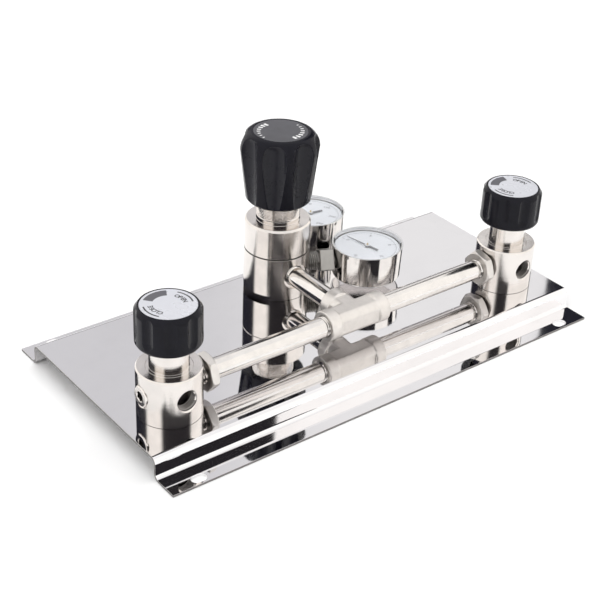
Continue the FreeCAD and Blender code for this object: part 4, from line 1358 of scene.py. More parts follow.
@dataclass
class Pipework(SubAssembly):
    """The two pipes, their lock nuts, the tee and the nipple into the regulator."""

    pipe_radius: float = 6.75
    pipe_bore: float = 4.5
    thread_root: float = 6.1
    thread_pitch: float = 1.34
    thread_crest_gap: float = 0.03
    thread_end_gap: float = 0.2
    thread_ease: float = 0.5
    oiled_depth: float = 0.38
    nut_flats: float = 22.0
    nut_thickness: float = 6.0
    nut_turn: float = 40.0
    nut_chamfer: float = 30.0
    nut_bore_gap: float = 0.02
    nut_face_inset: float = 0.3
    nut_edge: float = 0.15
    nut_dark_share: float = 0.4
    collar_radius: float = 10.2
    collar_width: float = 8.5
    collar_inner_round: float = 0.8
    collar_outer_round: float = 0.5
    core_radius: float = 9.8
    core_flat: float = 8.7
    core_inset: float = 1.0
    tee_port_depth: float = 11.0
    tee_port_chamfer: float = 0.7
    tee_port_gap: float = 0.1

    def build(self) -> None:
        """Makes the pipes, nuts, tee and nipple."""
        self._pipe("left_pipe", Axis.X, "left_run", threaded=(10.0, 12.0))
        self._pipe("right_pipe", Axis.X, "right_run", threaded=(12.0, 16.0))
        self._pipe("inlet_nipple", Axis.Y, "branch_nipple", threaded=(11.0, 7.5))
        self._nuts()
        self._tee()

    def _pipe(self, node: str, axis: Axis, name: str, threaded: tuple[float, float]) -> None:
        """A pipe with a thread on each end.

        Args:
            node: the node that it stands for.
            axis: the way it runs.
            name: the piece's name.
            threaded: the length of the thread at its start and at its end.
        """
        middle = centre(node)
        start = low(node).dot(axis.value)
        stop = high(node).dot(axis.value)
        plain_start = start + threaded[0] + self.thread_ease
        plain_stop = stop - threaded[1] - self.thread_ease
        corners = [
            Corner(self.pipe_bore, start),
            Corner(self.thread_root, start),
            Corner(self.thread_root, start + threaded[0]),
            Corner(self.pipe_radius, plain_start),
            Corner(self.pipe_radius, plain_stop),
            Corner(self.thread_root, stop - threaded[1]),
            Corner(self.thread_root, stop),
            Corner(self.pipe_bore, stop),
        ]
        pipe = Solid.turned(corners)
        crest = self.pipe_radius - self.thread_crest_gap
        for first, last in (
            (start + self.thread_end_gap, plain_start),
            (plain_stop, stop - self.thread_end_gap),
        ):
            pipe.with_others(Solid.thread(self.thread_root, crest, self.thread_pitch, first, last))
        line = middle - axis.value * middle.dot(axis.value)
        # Painted shade: the threaded ends take the dark steel, for the shade in the gaps that they sit in.
        dark_within = self.pipe_radius - self.oiled_depth
        pipe.lined(lambda point: math.hypot(point.x, point.y) < dark_within)
        pipe.moved(laid_along(axis.value, line))
        finish = self.finishes.pipe.material(line, axis)
        oiled = self.finishes.oiled.material(line, axis)
        pipe.piece(name, PANEL_BODY, "turned_steel", finish, [node], lining=oiled)

    def _nuts(self) -> None:
        """The two lock nuts: hexagons chamfered to a circle, with painted shade on the faces towards the
        valves.
        """
        middle = centre("left_pipe")
        box_low = low("pipe_lock_nuts")
        box_high = high("pipe_lock_nuts")
        thickness = self.nut_thickness
        corner = self.nut_flats / math.sqrt(3)
        rim = self.nut_flats / 2
        drop = (corner - rim) * math.tan(math.radians(self.nut_chamfer))
        dark_depth = self.nut_dark_share * drop
        bore = self.pipe_radius + self.nut_bore_gap
        face_rim = rim - self.nut_face_inset
        both = Solid()
        for start, face in ((box_low.x, 0.0), (box_high.x - thickness, thickness)):
            envelope = Solid.turned(
                [
                    Corner(bore, 0),
                    Corner(face_rim, 0),
                    Corner(corner, drop + self.nut_edge),
                    Corner(corner, thickness - drop - self.nut_edge),
                    Corner(face_rim, thickness),
                    Corner(bore, thickness),
                ],
                128,
            )
            bar = Solid.hexagon(self.nut_flats, -1, thickness + 1)
            nut = envelope.combined("INTERSECT", bar).worn(voxel=0.22, passes=3)
            # Painted shade on the face towards the valve, beside the narrow gap.
            nut.lined(lambda point, level=face: abs(point.z - level) < dark_depth)
            place = Vector((start, middle.y, middle.z))
            both.with_others(nut.moved(laid_along(Axis.X.value, place) @ upright(ORIGIN, self.nut_turn)))
        finish = self.finishes.nut.material()
        oiled = self.finishes.oiled.material()
        node = "pipe_lock_nuts"
        both.piece("lock_nuts", PANEL_BODY, "turned_steel", finish, [node], sharp=60.0, lining=oiled)

    def _tee_arm(self, length: float, degrees: float) -> Solid:
        """One arm of the tee, a flattened round bar in a round collar, as two shells that overlap."""
        core = Solid.rod(self.core_radius, -self.core_flat / 2, length - self.core_inset)
        flat = 2 * self.core_flat
        slab = Solid.box(Vector((flat, flat, 4 * length)), raised_to(length))
        collar = Solid.turned(
            [
                Corner(0, length - self.collar_width),
                Corner(self.collar_radius, length - self.collar_width, self.collar_inner_round),
                Corner(self.collar_radius, length, self.collar_outer_round),
                Corner(0, length),
            ],
            96,
        )
        arm = core.combined("INTERSECT", slab).with_others(collar)
        return arm.moved(outwards(degrees, 0))

    def _tee(self) -> None:
        """The blasted tee between the pipes, with its branch towards the regulator."""
        box_low = low("tee_fitting")
        box_high = high("tee_fitting")
        axis_x = centre("inlet_nipple").x
        axis_y = centre("left_pipe").y
        level = centre("left_pipe").z
        runs = {180.0: axis_x - box_low.x, 0.0: box_high.x - axis_x, 90.0: box_high.y - axis_y}
        arms = [self._tee_arm(length, degrees) for degrees, length in runs.items()]
        tee = Solid().with_others(*arms).worn(voxel=0.35, passes=4)
        bore = self.pipe_radius + self.tee_port_gap
        for degrees, length in runs.items():
            place = (length, self.tee_port_depth, degrees, 0)
            tee.cut(port_cutter(bore, *place, self.pipe_bore, self.tee_port_chamfer))
        tee.moved(Matrix.Translation((axis_x, axis_y, level)))
        finish = self.finishes.tee.material()
        tee.piece("blasted_tee", PANEL_BODY, "cast_steel", finish, ["tee_fitting"], sharp=60.0)


@dataclass
class Regulator(SubAssembly):
    """The pressure regulator: body, bonnet with its neck, tapered knob and the knob's cap."""

    bar_radius: float = 22.4
    seam: float = 0.75
    seam_depth: float = 1.6
    seam_skin: float = 0.12
    seam_slack: float = 0.01
    edge_chamfer: float = 0.25
    edge_round: float = 0.1
    spot_radius: float = 9.0
    port_thread: PortThread = PortThread()
    port_chamfer: float = 0.6
    port_thread_inset: float = 0.7
    gauge_thread_radius: float = 6.55
    gauge_angles: tuple[float, float] = (-25.5, 31.0)
    passage: float = 2.0
    foot_flats: float = 32.0
    foot_flats_height: float = 3.4
    bonnet_radius: float = 22.3
    bonnet_height: float = 21.3
    bonnet_chamfer: float = 1.2
    bonnet_round: float = 0.3
    bonnet_foot_round: float = 0.15
    bonnet_floor_radius: float = 15.0
    cavity_radius: float = 16.0
    cavity_floor: float = 3.5
    bonnet_roof: float = 5.0
    neck_radius: float = 14.7
    neck_plain: float = 3.2
    neck_relief: float = 0.4
    neck_thread_root: float = 14.15
    neck_thread_pitch: float = 1.0
    neck_crest_gap: float = 0.02
    neck_bore: float = 12.4
    neck_roof: float = 11.0
    screw_bore: float = 6.05
    knob_foot_radius: float = 20.8
    knob_low_radius: float = 22.1
    knob_low_rise: float = 1.6
    knob_foot_round: float = 0.4
    knob_low_round: float = 0.9
    knob_wide_radius: float = 26.5
    knob_wide_drop: float = 12.0
    knob_rim_radius: float = 18.4
    knob_socket: float = 16.0
    knob_headroom: float = 6.3
    knob_row: float = 0.5
    knob_rows_from: float = 0.05
    crown_rise_share: float = 0.41
    crown_way_share: float = 0.39
    crown_bulge: float = 0.35
    crown_drop: float = 0.5
    cap_gap: float = 0.1
    cap_edge_drop: float = 0.25
    cap_edge_inset: float = 0.35
    nut_pocket_radius: float = 12.0
    nut_pocket_depth: float = 11.0
    flute_count: int = 8
    flute_radius: float = 9.9
    flute_distance: float = 30.8
    flute_rise: float = 6.0
    flute_blend: float = 0.4
    dash_count: int = 8
    dash_lengths: tuple[float, float] = (3.6, 1.6)
    dash_width_share: float = 0.52
    ring_inset: float = 0.9
    ring_width: float = 0.22
    ring_sweep: float = 357.0
    ring_thickness: float = 0.02
    ink_thickness: float = 0.03

    def __post_init__(self) -> None:
        """Reads the regulator's place from the frame."""
        self.stand_at("regulator_bonnet")

    def build(self) -> None:
        """Makes the body, bonnet, knob and cap."""
        self._body()
        self._bonnet()
        self._knob()
        self._cap()

    def _body(self) -> None:
        """The body: four spot-faced ports at one height, spanner flats and painted shade in the seam on top.
        """
        foot = low("regulator_body").z
        top = high("regulator_body").z
        corners = [
            *undercut_foot(self.bar_radius, foot),
            Corner(self.bar_radius, top - self.seam, self.edge_round),
            Corner(self.bar_radius - self.seam_depth, top - self.seam),
            Corner(self.bar_radius - self.seam_depth, top),
            Corner(0, top),
        ]
        body = Solid.turned(corners, 288, 3)
        thread = self.port_thread
        seat = math.sqrt(self.bar_radius**2 - self.spot_radius**2)
        depth = thread.depth - (self.bar_radius - seat)
        inlet, outlet = -90.0, 90.0
        ports = {inlet: thread.radius, outlet: thread.radius}
        ports |= {angle: self.gauge_thread_radius for angle in self.gauge_angles}
        for degrees, bore in ports.items():
            spot = Solid.rod(self.spot_radius, seat, 2 * self.bar_radius, 128)
            spot.moved(outwards(degrees, self.port_level))
            place = (seat, depth, degrees, self.port_level)
            body.cut(spot, port_cutter(bore, *place, self.passage, self.port_chamfer))
        reach = 2 * self.bar_radius
        below = 1.0
        size = Vector((reach, 2 * reach, self.foot_flats_height + below))
        middle_z = foot + (self.foot_flats_height - below) / 2
        for side in (-1, 1):
            middle = Vector((side * (self.foot_flats + reach) / 2, 0, middle_z))
            body.cut(Solid.box(size, middle))
        ridge = thread.ridge(seat, depth, self.port_thread_inset, outlet, self.port_level)
        thread.line(body.with_others(ridge), seat, self.port_level)
        # Painted shade in the seam groove between the body and the bonnet.
        seam_wall = self.bar_radius - self.seam_skin
        seam_low = top - self.seam - self.seam_slack
        seam_high = top - self.seam_slack
        body.lined(lambda p: math.hypot(p.x, p.y) < seam_wall and seam_low < p.z < seam_high)
        body.moved(self.placement)
        finish = self.finishes.regulator.material(self.axis)
        oiled = self.finishes.oiled.material(self.axis)
        body.piece("regulator_block", PANEL_BODY, "turned_steel", finish, ["regulator_body"], lining=oiled)

    def _bonnet(self) -> None:
        """The bonnet shell and the long neck inside the knob."""
        foot = low("regulator_bonnet").z
        neck_top = high("regulator_bonnet").z
        top = foot + self.bonnet_height
        thread_foot = top + self.neck_plain
        thread_stop = neck_top - self.bonnet_chamfer
        corners = [
            Corner(self.bonnet_floor_radius, foot),
            Corner(self.bonnet_radius - self.edge_chamfer, foot),
            Corner(self.bonnet_radius, foot + self.edge_chamfer, self.bonnet_foot_round),
            Corner(self.bonnet_radius, top - self.bonnet_chamfer, self.bonnet_round),
            Corner(self.bonnet_radius - self.bonnet_chamfer, top, self.bonnet_round),
            Corner(self.neck_radius, top, self.bonnet_round),
            Corner(self.neck_radius, thread_foot - self.neck_relief, self.edge_round),
            Corner(self.neck_thread_root, thread_foot, self.edge_round),
            Corner(self.neck_thread_root, thread_stop, self.bonnet_round),
            Corner(self.neck_thread_root - self.bonnet_chamfer, neck_top, self.bonnet_round),
            Corner(self.screw_bore, neck_top),
            Corner(self.screw_bore, neck_top - self.neck_roof),
            Corner(self.neck_bore, neck_top - self.neck_roof),
            Corner(self.neck_bore, top - self.bonnet_roof),
            Corner(self.cavity_radius, top - self.bonnet_roof),
            Corner(self.cavity_radius, foot + self.cavity_floor),
            Corner(self.bonnet_floor_radius, foot + self.cavity_floor),
        ]
        bonnet = Solid.turned(corners, 288, 3)
        crest = self.neck_radius - self.neck_crest_gap
        ridge = Solid.thread(self.neck_thread_root, crest, self.neck_thread_pitch, thread_foot, thread_stop)
        bonnet.with_others(ridge).moved(self.placement)
        finish = self.finishes.regulator.material(self.axis)
        bonnet.piece("regulator_bell", PANEL_BODY, "turned_steel", finish, ["regulator_bonnet"])

    def _knob(self) -> None:
        """The tapered knob: widest near its top, with flutes that run out towards the foot."""
        foot = low("regulator_knob").z
        top = high("regulator_knob").z
        cap_foot = low("regulator_knob_cap").z
        recess = high("regulator_knob_cap").x - self.axis.x + self.cap_gap
        socket_top = high("regulator_bonnet").z + self.knob_headroom
        wide = top - self.knob_wide_drop
        widest = self.knob_wide_radius
        part_way = widest + (self.knob_rim_radius - widest) * self.crown_way_share
        crown = bowed(
            Vector((widest, 0, wide)),
            Vector((widest, 0, wide + self.crown_rise_share * self.knob_wide_drop)),
            Vector((part_way + self.crown_bulge, 0, top - self.crown_drop)),
            Vector((self.knob_rim_radius, 0, top)),
        )
        pocket_foot = cap_foot - self.nut_pocket_depth
        corners = [
            Corner(self.knob_socket, foot),
            Corner(self.knob_foot_radius, foot, self.knob_foot_round),
            Corner(self.knob_low_radius, foot + self.knob_low_rise, self.knob_low_round),
            *crown,
            Corner(recess, top),
            Corner(recess, cap_foot),
            Corner(self.nut_pocket_radius, cap_foot),
            Corner(self.nut_pocket_radius, pocket_foot),
            Corner(self.screw_bore, pocket_foot),
            Corner(self.screw_bore, socket_top),
            Corner(self.knob_socket, socket_top),
        ]
        knob = Solid.turned(corners, 432, 5, self.knob_row, recess + self.knob_rows_from)
        flutes = Flutes(
            count=self.flute_count,
            radius=self.flute_radius,
            distance=self.flute_distance,
            ball=wide + self.flute_rise,
            upwards=False,
            blend=self.flute_blend,
        )
        # Painted light: the flutes take a paler copy of the satin black.
        knob.reshaped(flutes).lined(flutes.holds).moved(self.placement)
        finish = self.finishes.satin_black.material()
        groove = self.finishes.groove_black.material()
        node = "regulator_knob"
        knob.piece("regulator_handwheel", "regulator_handle", "black_satin", finish, [node], 50.0, groove)

    def _cap(self) -> None:
        """The knob's cap with its two rows of printed dashes and the line round them."""
        foot = low("regulator_knob_cap").z
        top = high("regulator_knob_cap").z
        radius = high("regulator_knob_cap").x - self.axis.x
        cap = Solid.disc(radius, foot, top, self.cap_edge_inset, self.cap_edge_drop).moved(self.placement)
        finish = self.finishes.cap_black.material()
        cap.piece("handwheel_cap", "regulator_handle", "black_satin", finish, ["regulator_knob_cap"])
        dashes = [
            *self._dashes(angles=(102, 190), radii=(12.8, 15.9)),
            *self._dashes(angles=(-87, 4), radii=(13.9, 14.3)),
        ]
        surface = upright(self.axis + raised_to(top - self.ink_thickness / 2))
        self.mark("cap_dashes", "regulator_handle", "black_satin", self.finishes.white_ink, dashes, surface)
        inner = radius - self.ring_inset
        line = Solid.arc_band(inner, inner + self.ring_width, 0, self.ring_sweep, self.ring_thickness)
        self.mark("cap_ring", "regulator_handle", "black_satin", self.finishes.grey_ink, [line], surface)

    def _dashes(self, angles: tuple[float, float], radii: tuple[float, float]) -> list[Solid]:
        """A row of dashes round the cap that shrink towards one end.

        Args:
            angles: where the largest dash stands, and the smallest.
            radii: how far their middles are from the axis.

        Returns:
            The dashes.
        """
        dashes = []
        for step in range(self.dash_count):
            share = step / (self.dash_count - 1)
            angle, radius, length = (
                first + (last - first) * share for first, last in (angles, radii, self.dash_lengths)
            )
            half = length / 2
            width = math.degrees(half * self.dash_width_share / radius)
            band = (radius - half, radius + half, angle - width, angle + width)
            dashes.append(Solid.arc_band(*band, self.ink_thickness))
        return dashes


@dataclass
class Gauge(SubAssembly):
    """One pressure gauge: case, clear window, dial, pointer and the stem to the regulator."""

    name: str
    stem: float
    pointing: float
    numbers: Sequence[str]
    case_radius: float = 24.3
    case_taper: float = 0.8
    wall: float = 0.9
    foot_round: float = 1.5
    rim_chamfer: float = 0.15
    stem_bore: float = 5.1
    window_gap: float = 0.1
    window_overhang: float = 0.4
    window_lip_width: float = 1.1
    window_foot_round: float = 0.2
    window_edge_round: float = 0.6
    dial_hole: float = 1.6
    scale_sweep: float = 270.0
    scale_radius: float = 20.0
    scale_line: float = 0.2
    scale_fine_steps: int = 10
    mark_overlap: float = 0.1
    long_mark: tuple[float, float] = (2.0, 0.16)
    middle_mark: tuple[float, float] = (1.4, 0.08)
    short_mark: tuple[float, float] = (0.9, 0.08)
    number_size: float = 3.4
    number_boldness: float = 0.01
    number_inset: float = 4.2
    pointer_length: float = 18.0
    pointer_tail: float = 9.3
    pointer_tail_half: float = 0.75
    pointer_half: float = 0.42
    pointer_tip_half: float = 0.15
    pointer_tail_end: float = 0.5
    pointer_inset: float = 0.25
    pointer_hub: float = 1.9
    pointer_hub_round: float = 0.2
    block_half: float = 7.3
    block_gap: float = 0.05
    block_length: float = 10.2
    block_round: float = 0.7
    neck_radius: float = 5.0
    neck_length: float = 16.0
    overlap: float = 0.5
    thread_engagement: float = 7.6
    thread_root: float = 5.9
    thread_radius: float = 6.5
    thread_pitch: float = 1.34
    thread_first_gap: float = 0.3
    thread_last_gap: float = 0.2
    dimple_angles: tuple[float, float] = (-163.8, -81.0)
    dimple_drop: float = 1.7
    dimple_radius: float = 1.35
    dimple_offset: float = 0.6075
    dimple_slack: float = 0.05
    ink_thickness: float = 0.02

    def __post_init__(self) -> None:
        """Reads the gauge's place from the frame."""
        self.stand_at(self._node("dial"))
        self.needle = f"{self.name}_gauge_needle"

    def _node(self, part: str) -> str:
        """The name of one of this gauge's nodes."""
        return f"{self.name}_gauge_{part}"

    def build(self) -> None:
        """Makes the case, window, dial, pointer and stem."""
        self._case()
        self._window()
        self._dial()
        self._pointer()
        self._stem()

    def _case(self) -> None:
        """The polished cup with its rounded foot and two dimples that hold the window."""
        foot = low(self._node("case")).z
        top = high(self._node("case")).z
        inner = self.case_radius - self.wall
        corners = [
            Corner(0, foot),
            Corner(self.case_radius - self.case_taper, foot, self.foot_round),
            Corner(self.case_radius, top - self.rim_chamfer),
            Corner(self.case_radius - self.rim_chamfer, top),
            Corner(inner, top),
            Corner(inner - self.case_taper, foot + self.wall, self.foot_round / 2),
            Corner(0, foot + self.wall),
        ]
        cup = Solid.turned(corners, 256, 8)
        hole = Solid.rod(self.stem_bore, inner / 2, 2 * inner, 64)
        cup.cut(hole.moved(outwards(self.stem, self.port_level)))
        level = raised_to(top - self.dimple_drop)
        reach = self.case_radius + self.dimple_offset
        spots = [heading(degrees) * reach + level for degrees in self.dimple_angles]
        for spot in spots:
            cup.cut(Solid.ball(self.dimple_radius, spot))
        # Painted shade in the dimples' hollows.
        near = self.dimple_radius + self.dimple_slack
        cup.lined(lambda point: any((point - spot).length < near for spot in spots))
        cup.moved(self.placement)
        finish = self.finishes.case.material(self.axis)
        oiled = self.finishes.oiled.material()
        node = self._node("case")
        cup.piece(self._node("cup"), PANEL_BODY, "polished_steel", finish, [node], lining=oiled)

    def _window(self) -> None:
        """The clear window that caps the case, with its lip inside."""
        foot = low(self._node("window")).z
        case_top = high(self._node("case")).z
        top = high(self._node("window")).z
        lip = self.case_radius - self.wall - self.window_gap
        edge = self.case_radius + self.window_overhang
        corners = [
            Corner(0, case_top),
            Corner(lip - self.window_lip_width, case_top),
            Corner(lip - self.window_lip_width, foot),
            Corner(lip, foot),
            Corner(lip, case_top),
            Corner(edge, case_top, self.window_foot_round),
            Corner(edge, top, self.window_edge_round),
            Corner(0, top),
        ]
        window = Solid.turned(corners, 256, 6).moved(self.placement)
        finish = self.finishes.window.material(self.axis)
        window.piece(self._node("crystal"), PANEL_BODY, "window", finish, [self._node("window")])

    def _dial(self) -> None:
        """The dial plate with a plain scale and plain numbers."""
        foot = low(self._node("dial")).z
        top = high(self._node("dial")).z
        radius = high(self._node("dial")).x - self.axis.x
        corners = [
            Corner(self.dial_hole, foot),
            Corner(radius, foot),
            Corner(radius, top),
            Corner(self.dial_hole, top),
        ]
        plate = Solid.turned(corners).moved(self.placement)
        finish = self.finishes.dial.material(self.axis)
        plate.piece(self._node("dial_plate"), PANEL_BODY, "dial", finish, [self._node("dial")])
        surface = upright(self.axis + raised_to(top - self.ink_thickness / 2))
        self.mark(self._node("scale"), PANEL_BODY, "dial", self.finishes.dial_ink, self._scale(), surface)

    def _scale(self) -> list[Solid]:
        """The dial's arc, its marks and its numbers, which end on both sides of the stem."""
        ink = self.ink_thickness
        start = self.stem - (360 - self.scale_sweep) / 2
        stop = start - self.scale_sweep
        shapes = [Solid.arc_band(self.scale_radius, self.scale_radius + self.scale_line, stop, start, ink)]
        fine = self.scale_fine_steps
        steps = (len(self.numbers) - 1) * fine
        outer = self.scale_radius + self.mark_overlap
        for step in range(steps + 1):
            angle = start - self.scale_sweep * step / steps
            mark = self.short_mark
            if step % fine == 0:
                mark = self.long_mark
            elif step % (fine // 2) == 0:
                mark = self.middle_mark
            length, half_width = mark
            half = math.degrees(half_width / self.scale_radius)
            shapes.append(Solid.arc_band(self.scale_radius - length, outer, angle - half, angle + half, ink))
        for place, text in enumerate(self.numbers):
            angle = start - self.scale_sweep * place / (len(self.numbers) - 1)
            number = Solid.words(text, self.number_size, ink, self.number_boldness)
            spot = heading(angle) * (self.scale_radius - self.number_inset)
            shapes.append(number.moved(upright(spot, self.stem + 90)))
        return shapes

    def _pointer(self) -> None:
        """The pointer on its hub, a fine arm with a broader tail."""
        foot = low(self._node("pointer")).z
        top = high(self._node("pointer")).z
        arm_foot = foot + self.pointer_inset
        arm_top = top - self.pointer_inset
        half = [
            (-self.pointer_tail, self.pointer_tail_half),
            (-self.pointer_tail_end, self.pointer_tail_half),
            (0.0, self.pointer_half),
            (self.pointer_length, self.pointer_tip_half),
        ]
        points = [Vector((x, -y, arm_foot)) for x, y in half]
        points += [Vector((x, y, arm_foot)) for x, y in half[::-1]]
        arm = Solid.extruded(points, raised_to(arm_top - arm_foot))
        corners = [
            Corner(0, foot),
            Corner(self.pointer_hub, foot),
            Corner(self.pointer_hub, top, self.pointer_hub_round),
            Corner(0, top),
        ]
        pointer = arm.combined("UNION", Solid.turned(corners, 48))
        pointer.lined(lambda point: math.hypot(point.x, point.y) < self.pointer_hub and point.z > arm_top)
        pointer.moved(upright(self.axis, self.pointing))
        finish = self.finishes.pointer.material()
        pale = self.finishes.pointer_hub.material()
        node = self._node("pointer")
        pointer.piece(self._node("hand"), self.needle, "pointer", finish, [node], lining=pale)

    def _stem(self) -> None:
        """The stem: a blasted square block, the neck into the case and the thread into the regulator."""
        block_in = self.case_radius + self.block_gap
        block_out = block_in + self.block_length
        reach = (self.axis - centre("regulator_bonnet")).xy.length
        thread_end = reach - Regulator.bar_radius + self.thread_engagement
        block_size = 2 * self.block_half
        size = Vector((block_size, block_size, self.block_length))
        block = Solid.box(size, raised_to((block_in + block_out) / 2))
        block.softened(self.block_round, segments=4, angle=60.0).worn(voxel=0.25, passes=3)
        neck = Solid.rod(self.neck_radius, block_in - self.neck_length, block_in + self.overlap)
        shank = Solid.rod(self.thread_root, block_out - self.overlap, thread_end)
        start = block_out - self.thread_first_gap
        stop = thread_end - self.thread_last_gap
        ridge = Solid.thread(self.thread_root, self.thread_radius, self.thread_pitch, start, stop)
        # Painted shade: the threaded shank takes the dark steel.
        stem = block.with_others(neck, shank.lined(lambda point: True), ridge)
        stem.moved(self.placement @ outwards(self.stem, self.port_level))
        # The block's finish is painted shade: a darker steel than the tee's, for the dark that the block
        # mirrors.
        finish = self.finishes.socket.material()
        oiled = self.finishes.oiled.material()
        node = self._node("socket")
        stem.piece(self._node("stem"), PANEL_BODY, "cast_steel", finish, [node], sharp=40.0, lining=oiled)


class InnerPieces:
    """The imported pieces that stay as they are: the hidden ones and the fixing screws."""

    def __init__(self, finishes: Finishes) -> None:
        """Pairs the nodes' names with their finishes."""
        self.by_ending = {
            "seat": finishes.polymer,
            "diaphragm": finishes.spring,
            "button": finishes.brass,
            "spindle": finishes.plated,
            "nut": finishes.plated,
            "screws": finishes.plated,
            "screw": finishes.plated,
            "plate": finishes.brass,
            "spring": finishes.spring,
            "poppet": finishes.spring,
            "pinion": finishes.brass,
            "sector": finishes.brass,
            "link": finishes.brass,
            "tube": finishes.brass,
            "frame": finishes.brass,
        }

    def dress(self) -> None:
        """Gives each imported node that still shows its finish."""
        for name, node in sorted(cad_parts.items()):
            if node.hide_render:
                continue
            finish = self.by_ending[name.rsplit("_", 1)[1]]
            middle = centre(name)
            material = finish.material(Vector((middle.x, middle.y, 0)))
            node.data.materials.clear()
            node.data.materials.append(material)
            log.info("%s keeps its packed shape in %s", name, finish.name)


@dataclass(frozen=True)
class SoftBox:
    """A lit or dark field of the studio, seen from the panel.

    Angles are in degrees: heading from +X, low and high from the floor. A field with seen_twice is missing
    from first reflections and shows in a reflection of a reflection, so the flat sheet mirrors a plain pale
    sky on its sides.
    """

    heading: float
    half_width: float
    low: float
    high: float
    colour: tuple[float, float, float]
    edge: float = 4.0
    level_edge: float = 4.0
    seen_twice: bool = False


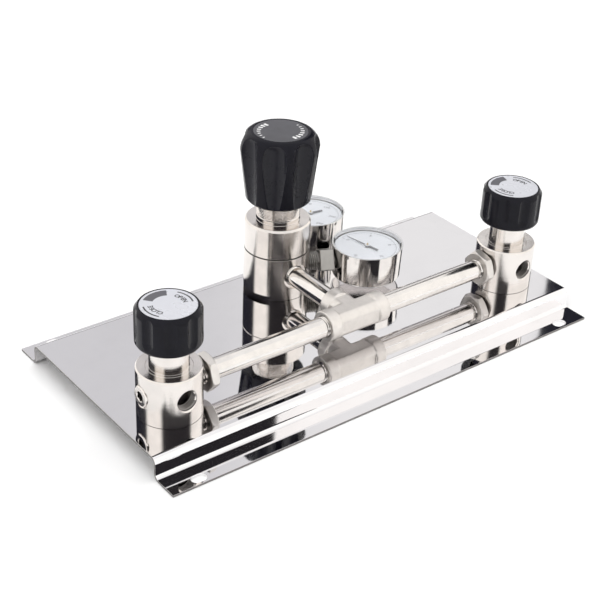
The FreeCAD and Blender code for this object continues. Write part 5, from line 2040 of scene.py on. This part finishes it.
@dataclass
class Studio:
    """The floor, the surrounding light and the camera."""

    floor_size: float = 9.0
    floor_colour: tuple[float, float, float] = (0.95, 0.95, 0.95)
    surround: tuple[float, float, float] = (1.15, 1.125, 1.095)
    overhead: tuple[float, float, float] = (2.75, 2.75, 2.75)
    overhead_mirrored: tuple[float, float, float] = (1.0, 0.99, 0.99)
    overhead_from: float = 52.0
    overhead_blur: float = 8.0
    second_reflection: tuple[float, float] = (2.4, 2.6)
    card_edge: tuple[float, float] = (0.072, -0.273)
    card_length: float = 0.60
    card_height: float = 0.50
    camera_place: tuple[float, float, float] = (-0.4808, -0.5826, 0.4812)
    camera_yaw: float = 38.809
    camera_pitch: float = 31.052
    camera_roll: float = 2.626
    lens: float = 80.04
    film: float = 36.0

    def build(self) -> None:
        """Makes the floor, the light, the white card and the camera."""
        self._floor()
        self._light()
        self._card()
        self._camera()
        bpy.context.scene.view_settings.view_transform = "Standard"

    @staticmethod
    def _rectangle(
        name: str, size: tuple[float, float], placement: Matrix
    ) -> tuple[bpy.types.Object, Graph]:
        """A flat rectangle, in metres, with the empty graph of its own material.

        Args:
            name: the name of the object and of its material.
            size: its length along X and along Y before it is placed.
            placement: where it goes.

        Returns:
            The object and the graph.
        """
        bm = bmesh.new()
        bmesh.ops.create_grid(bm, x_segments=1, y_segments=1, size=0.5)
        bmesh.ops.scale(bm, verts=bm.verts, vec=(*size, 1))
        bmesh.ops.transform(bm, matrix=placement, verts=bm.verts)
        mesh = bpy.data.meshes.new(name)
        bm.to_mesh(mesh)
        bm.free()
        material = bpy.data.materials.new(name)
        material.use_nodes = True
        mesh.materials.append(material)
        return in_scene(name, mesh), Graph(material.node_tree)

    def _floor(self) -> None:
        """A plain pale floor."""
        floor, graph = self._rectangle("floor", (self.floor_size, self.floor_size), Matrix())
        shade = graph.noise(graph.place(), 0.004, 2.0)
        darker = [c * 0.99 for c in self.floor_colour]
        colour = graph.blend(shade, self.floor_colour, darker)
        graph.close(graph.principled({"Base Color": colour, "Roughness": 0.9, "Specular IOR Level": 0.0}))
        floor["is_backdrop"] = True

    def _card(self) -> None:
        """The white card in front of the panel's right half, which only reflections show."""
        middle = (self.card_edge[0] + self.card_length / 2, self.card_edge[1], self.card_height / 2)
        placement = Matrix.Translation(middle) @ Matrix.Rotation(math.pi / 2, 4, "X")
        card, graph = self._rectangle("white_card", (self.card_length, self.card_height), placement)
        card.visible_camera = False
        card.visible_diffuse = False
        card.visible_shadow = False
        card.visible_transmission = False
        graph.close(graph.node("ShaderNodeEmission", {}, {"Color": (*self.surround, 1.0), "Strength": 1.0}))
        card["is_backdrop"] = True

    def _boxes(self) -> list[SoftBox]:
        """The fields of light and shade round the panel."""
        return [
            SoftBox(54, 16, 14, 46, (0.66, 0.652, 0.675), 1.5, 6.0),
            SoftBox(44, 9, 14, 46, (0.86, 0.85, 0.855), 5.0, 6.0),
            SoftBox(110, 42, -6, 48, (0.020, 0.020, 0.030), 5.0, 4.0, seen_twice=True),
            SoftBox(28, 11.2, 15, 45, (0.018, 0.018, 0.025), 0.05, 3.0),
            SoftBox(45, 30, -8, 16, (0.12, 0.11, 0.13), 4.0, 4.0),
            SoftBox(-91, 60, 0, 60, (0.022, 0.020, 0.023), 7.0, 10.0, seen_twice=True),
        ]

    def _light(self) -> None:
        """The surrounding light, drawn by direction; the camera itself sees only the plain surround."""
        world = bpy.data.worlds.new("studio")
        bpy.context.scene.world = world
        world.use_nodes = True
        graph = Graph(world.node_tree)
        direction = graph.node("ShaderNodeTexCoord", output="Generated")
        split = graph.node("ShaderNodeSeparateXYZ", {}, {0: direction}).socket.node
        x, y, z = (Signal(graph, output) for output in split.outputs)
        azimuth = y.maths("ARCTAN2", x) * math.degrees(1)
        elevation = z.maths("ARCSINE") * math.degrees(1)
        blur = self.overhead_blur
        lift = elevation.between(self.overhead_from - blur, self.overhead_from + blur)
        mirrored = graph.node("ShaderNodeLightPath", output="Is Glossy Ray")
        ceiling = graph.blend(mirrored, self.overhead, self.overhead_mirrored)
        colour = graph.blend(lift, self.surround, ceiling)
        # The ray depth passes this range between a first and a second reflection.
        depth = graph.node("ShaderNodeLightPath", output="Ray Depth")
        once = mirrored * (1.0 - depth.between(*self.second_reflection))
        for box in self._boxes():
            beside = (azimuth - box.heading + 540.0).maths("FLOORED_MODULO", 360.0) - 180.0
            away = beside.maths("ABSOLUTE")
            sideways = 1.0 - away.between(box.half_width - box.edge, box.half_width + box.edge)
            above = elevation.between(box.low - box.level_edge, box.low + box.level_edge)
            below = 1.0 - elevation.between(box.high - box.level_edge, box.high + box.level_edge)
            shown = sideways * above * below
            if box.seen_twice:
                shown = shown * (1.0 - once)
            colour = graph.blend(shown, colour, box.colour)
        seen = graph.node("ShaderNodeLightPath", output="Is Camera Ray")
        colour = graph.blend(seen, colour, self.surround)
        light = graph.node("ShaderNodeBackground", {}, {"Color": colour, "Strength": 1.0})
        graph.node("ShaderNodeOutputWorld", {}, {"Surface": light})

    def _camera(self) -> None:
        """The camera at the photo's place and angle."""
        yaw = math.radians(self.camera_yaw)
        pitch = math.radians(self.camera_pitch)
        level = math.cos(pitch)
        forward = Vector((level * math.sin(yaw), level * math.cos(yaw), -math.sin(pitch)))
        right = Vector((math.cos(yaw), -math.sin(yaw), 0))
        up = right.cross(forward)
        turn = Matrix((right, up, -forward)).transposed().to_4x4()
        roll = Matrix.Rotation(math.radians(self.camera_roll), 4, "Z")
        lens = bpy.data.cameras.new("camera")
        lens.lens = self.lens
        lens.sensor_width = self.film
        lens.clip_start = 0.01
        camera = in_scene("camera", lens)
        camera.matrix_world = Matrix.Translation(self.camera_place) @ turn @ roll
        bpy.context.scene.camera = camera


def write_sizes() -> None:
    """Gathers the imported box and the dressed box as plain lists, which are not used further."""
    boxes = {"cad": cad_bounds, "visual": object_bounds()}
    plain = {name: [list(corner) for corner in box] for name, box in boxes.items()}


def main() -> None:
    """Builds the sub-assemblies in order."""
    logging.basicConfig(level=logging.INFO, format="%(relativeCreated)6d ms %(name)s %(message)s")
    finishes = Finishes()
    front, rear = Regulator.gauge_angles
    parts: list[SubAssembly] = [
        BasePanel(finishes),
        ShutOffValve(finishes, Side.LEFT, pipe_side=0.0, turn=-119.0),
        ShutOffValve(finishes, Side.RIGHT, pipe_side=180.0, turn=-110.0),
        Pipework(finishes),
        Regulator(finishes),
        Gauge(finishes, "front", front + 180, 100.6, [str(number) for number in range(0, 17, 4)]),
        Gauge(finishes, "rear", rear + 180, 168.0, [str(number) for number in range(0, 251, 50)]),
    ]
    for part in parts:
        part.build()
    InnerPieces(finishes).dress()
    Studio().build()
    write_sizes()


if __name__ == "__main__":
    main()
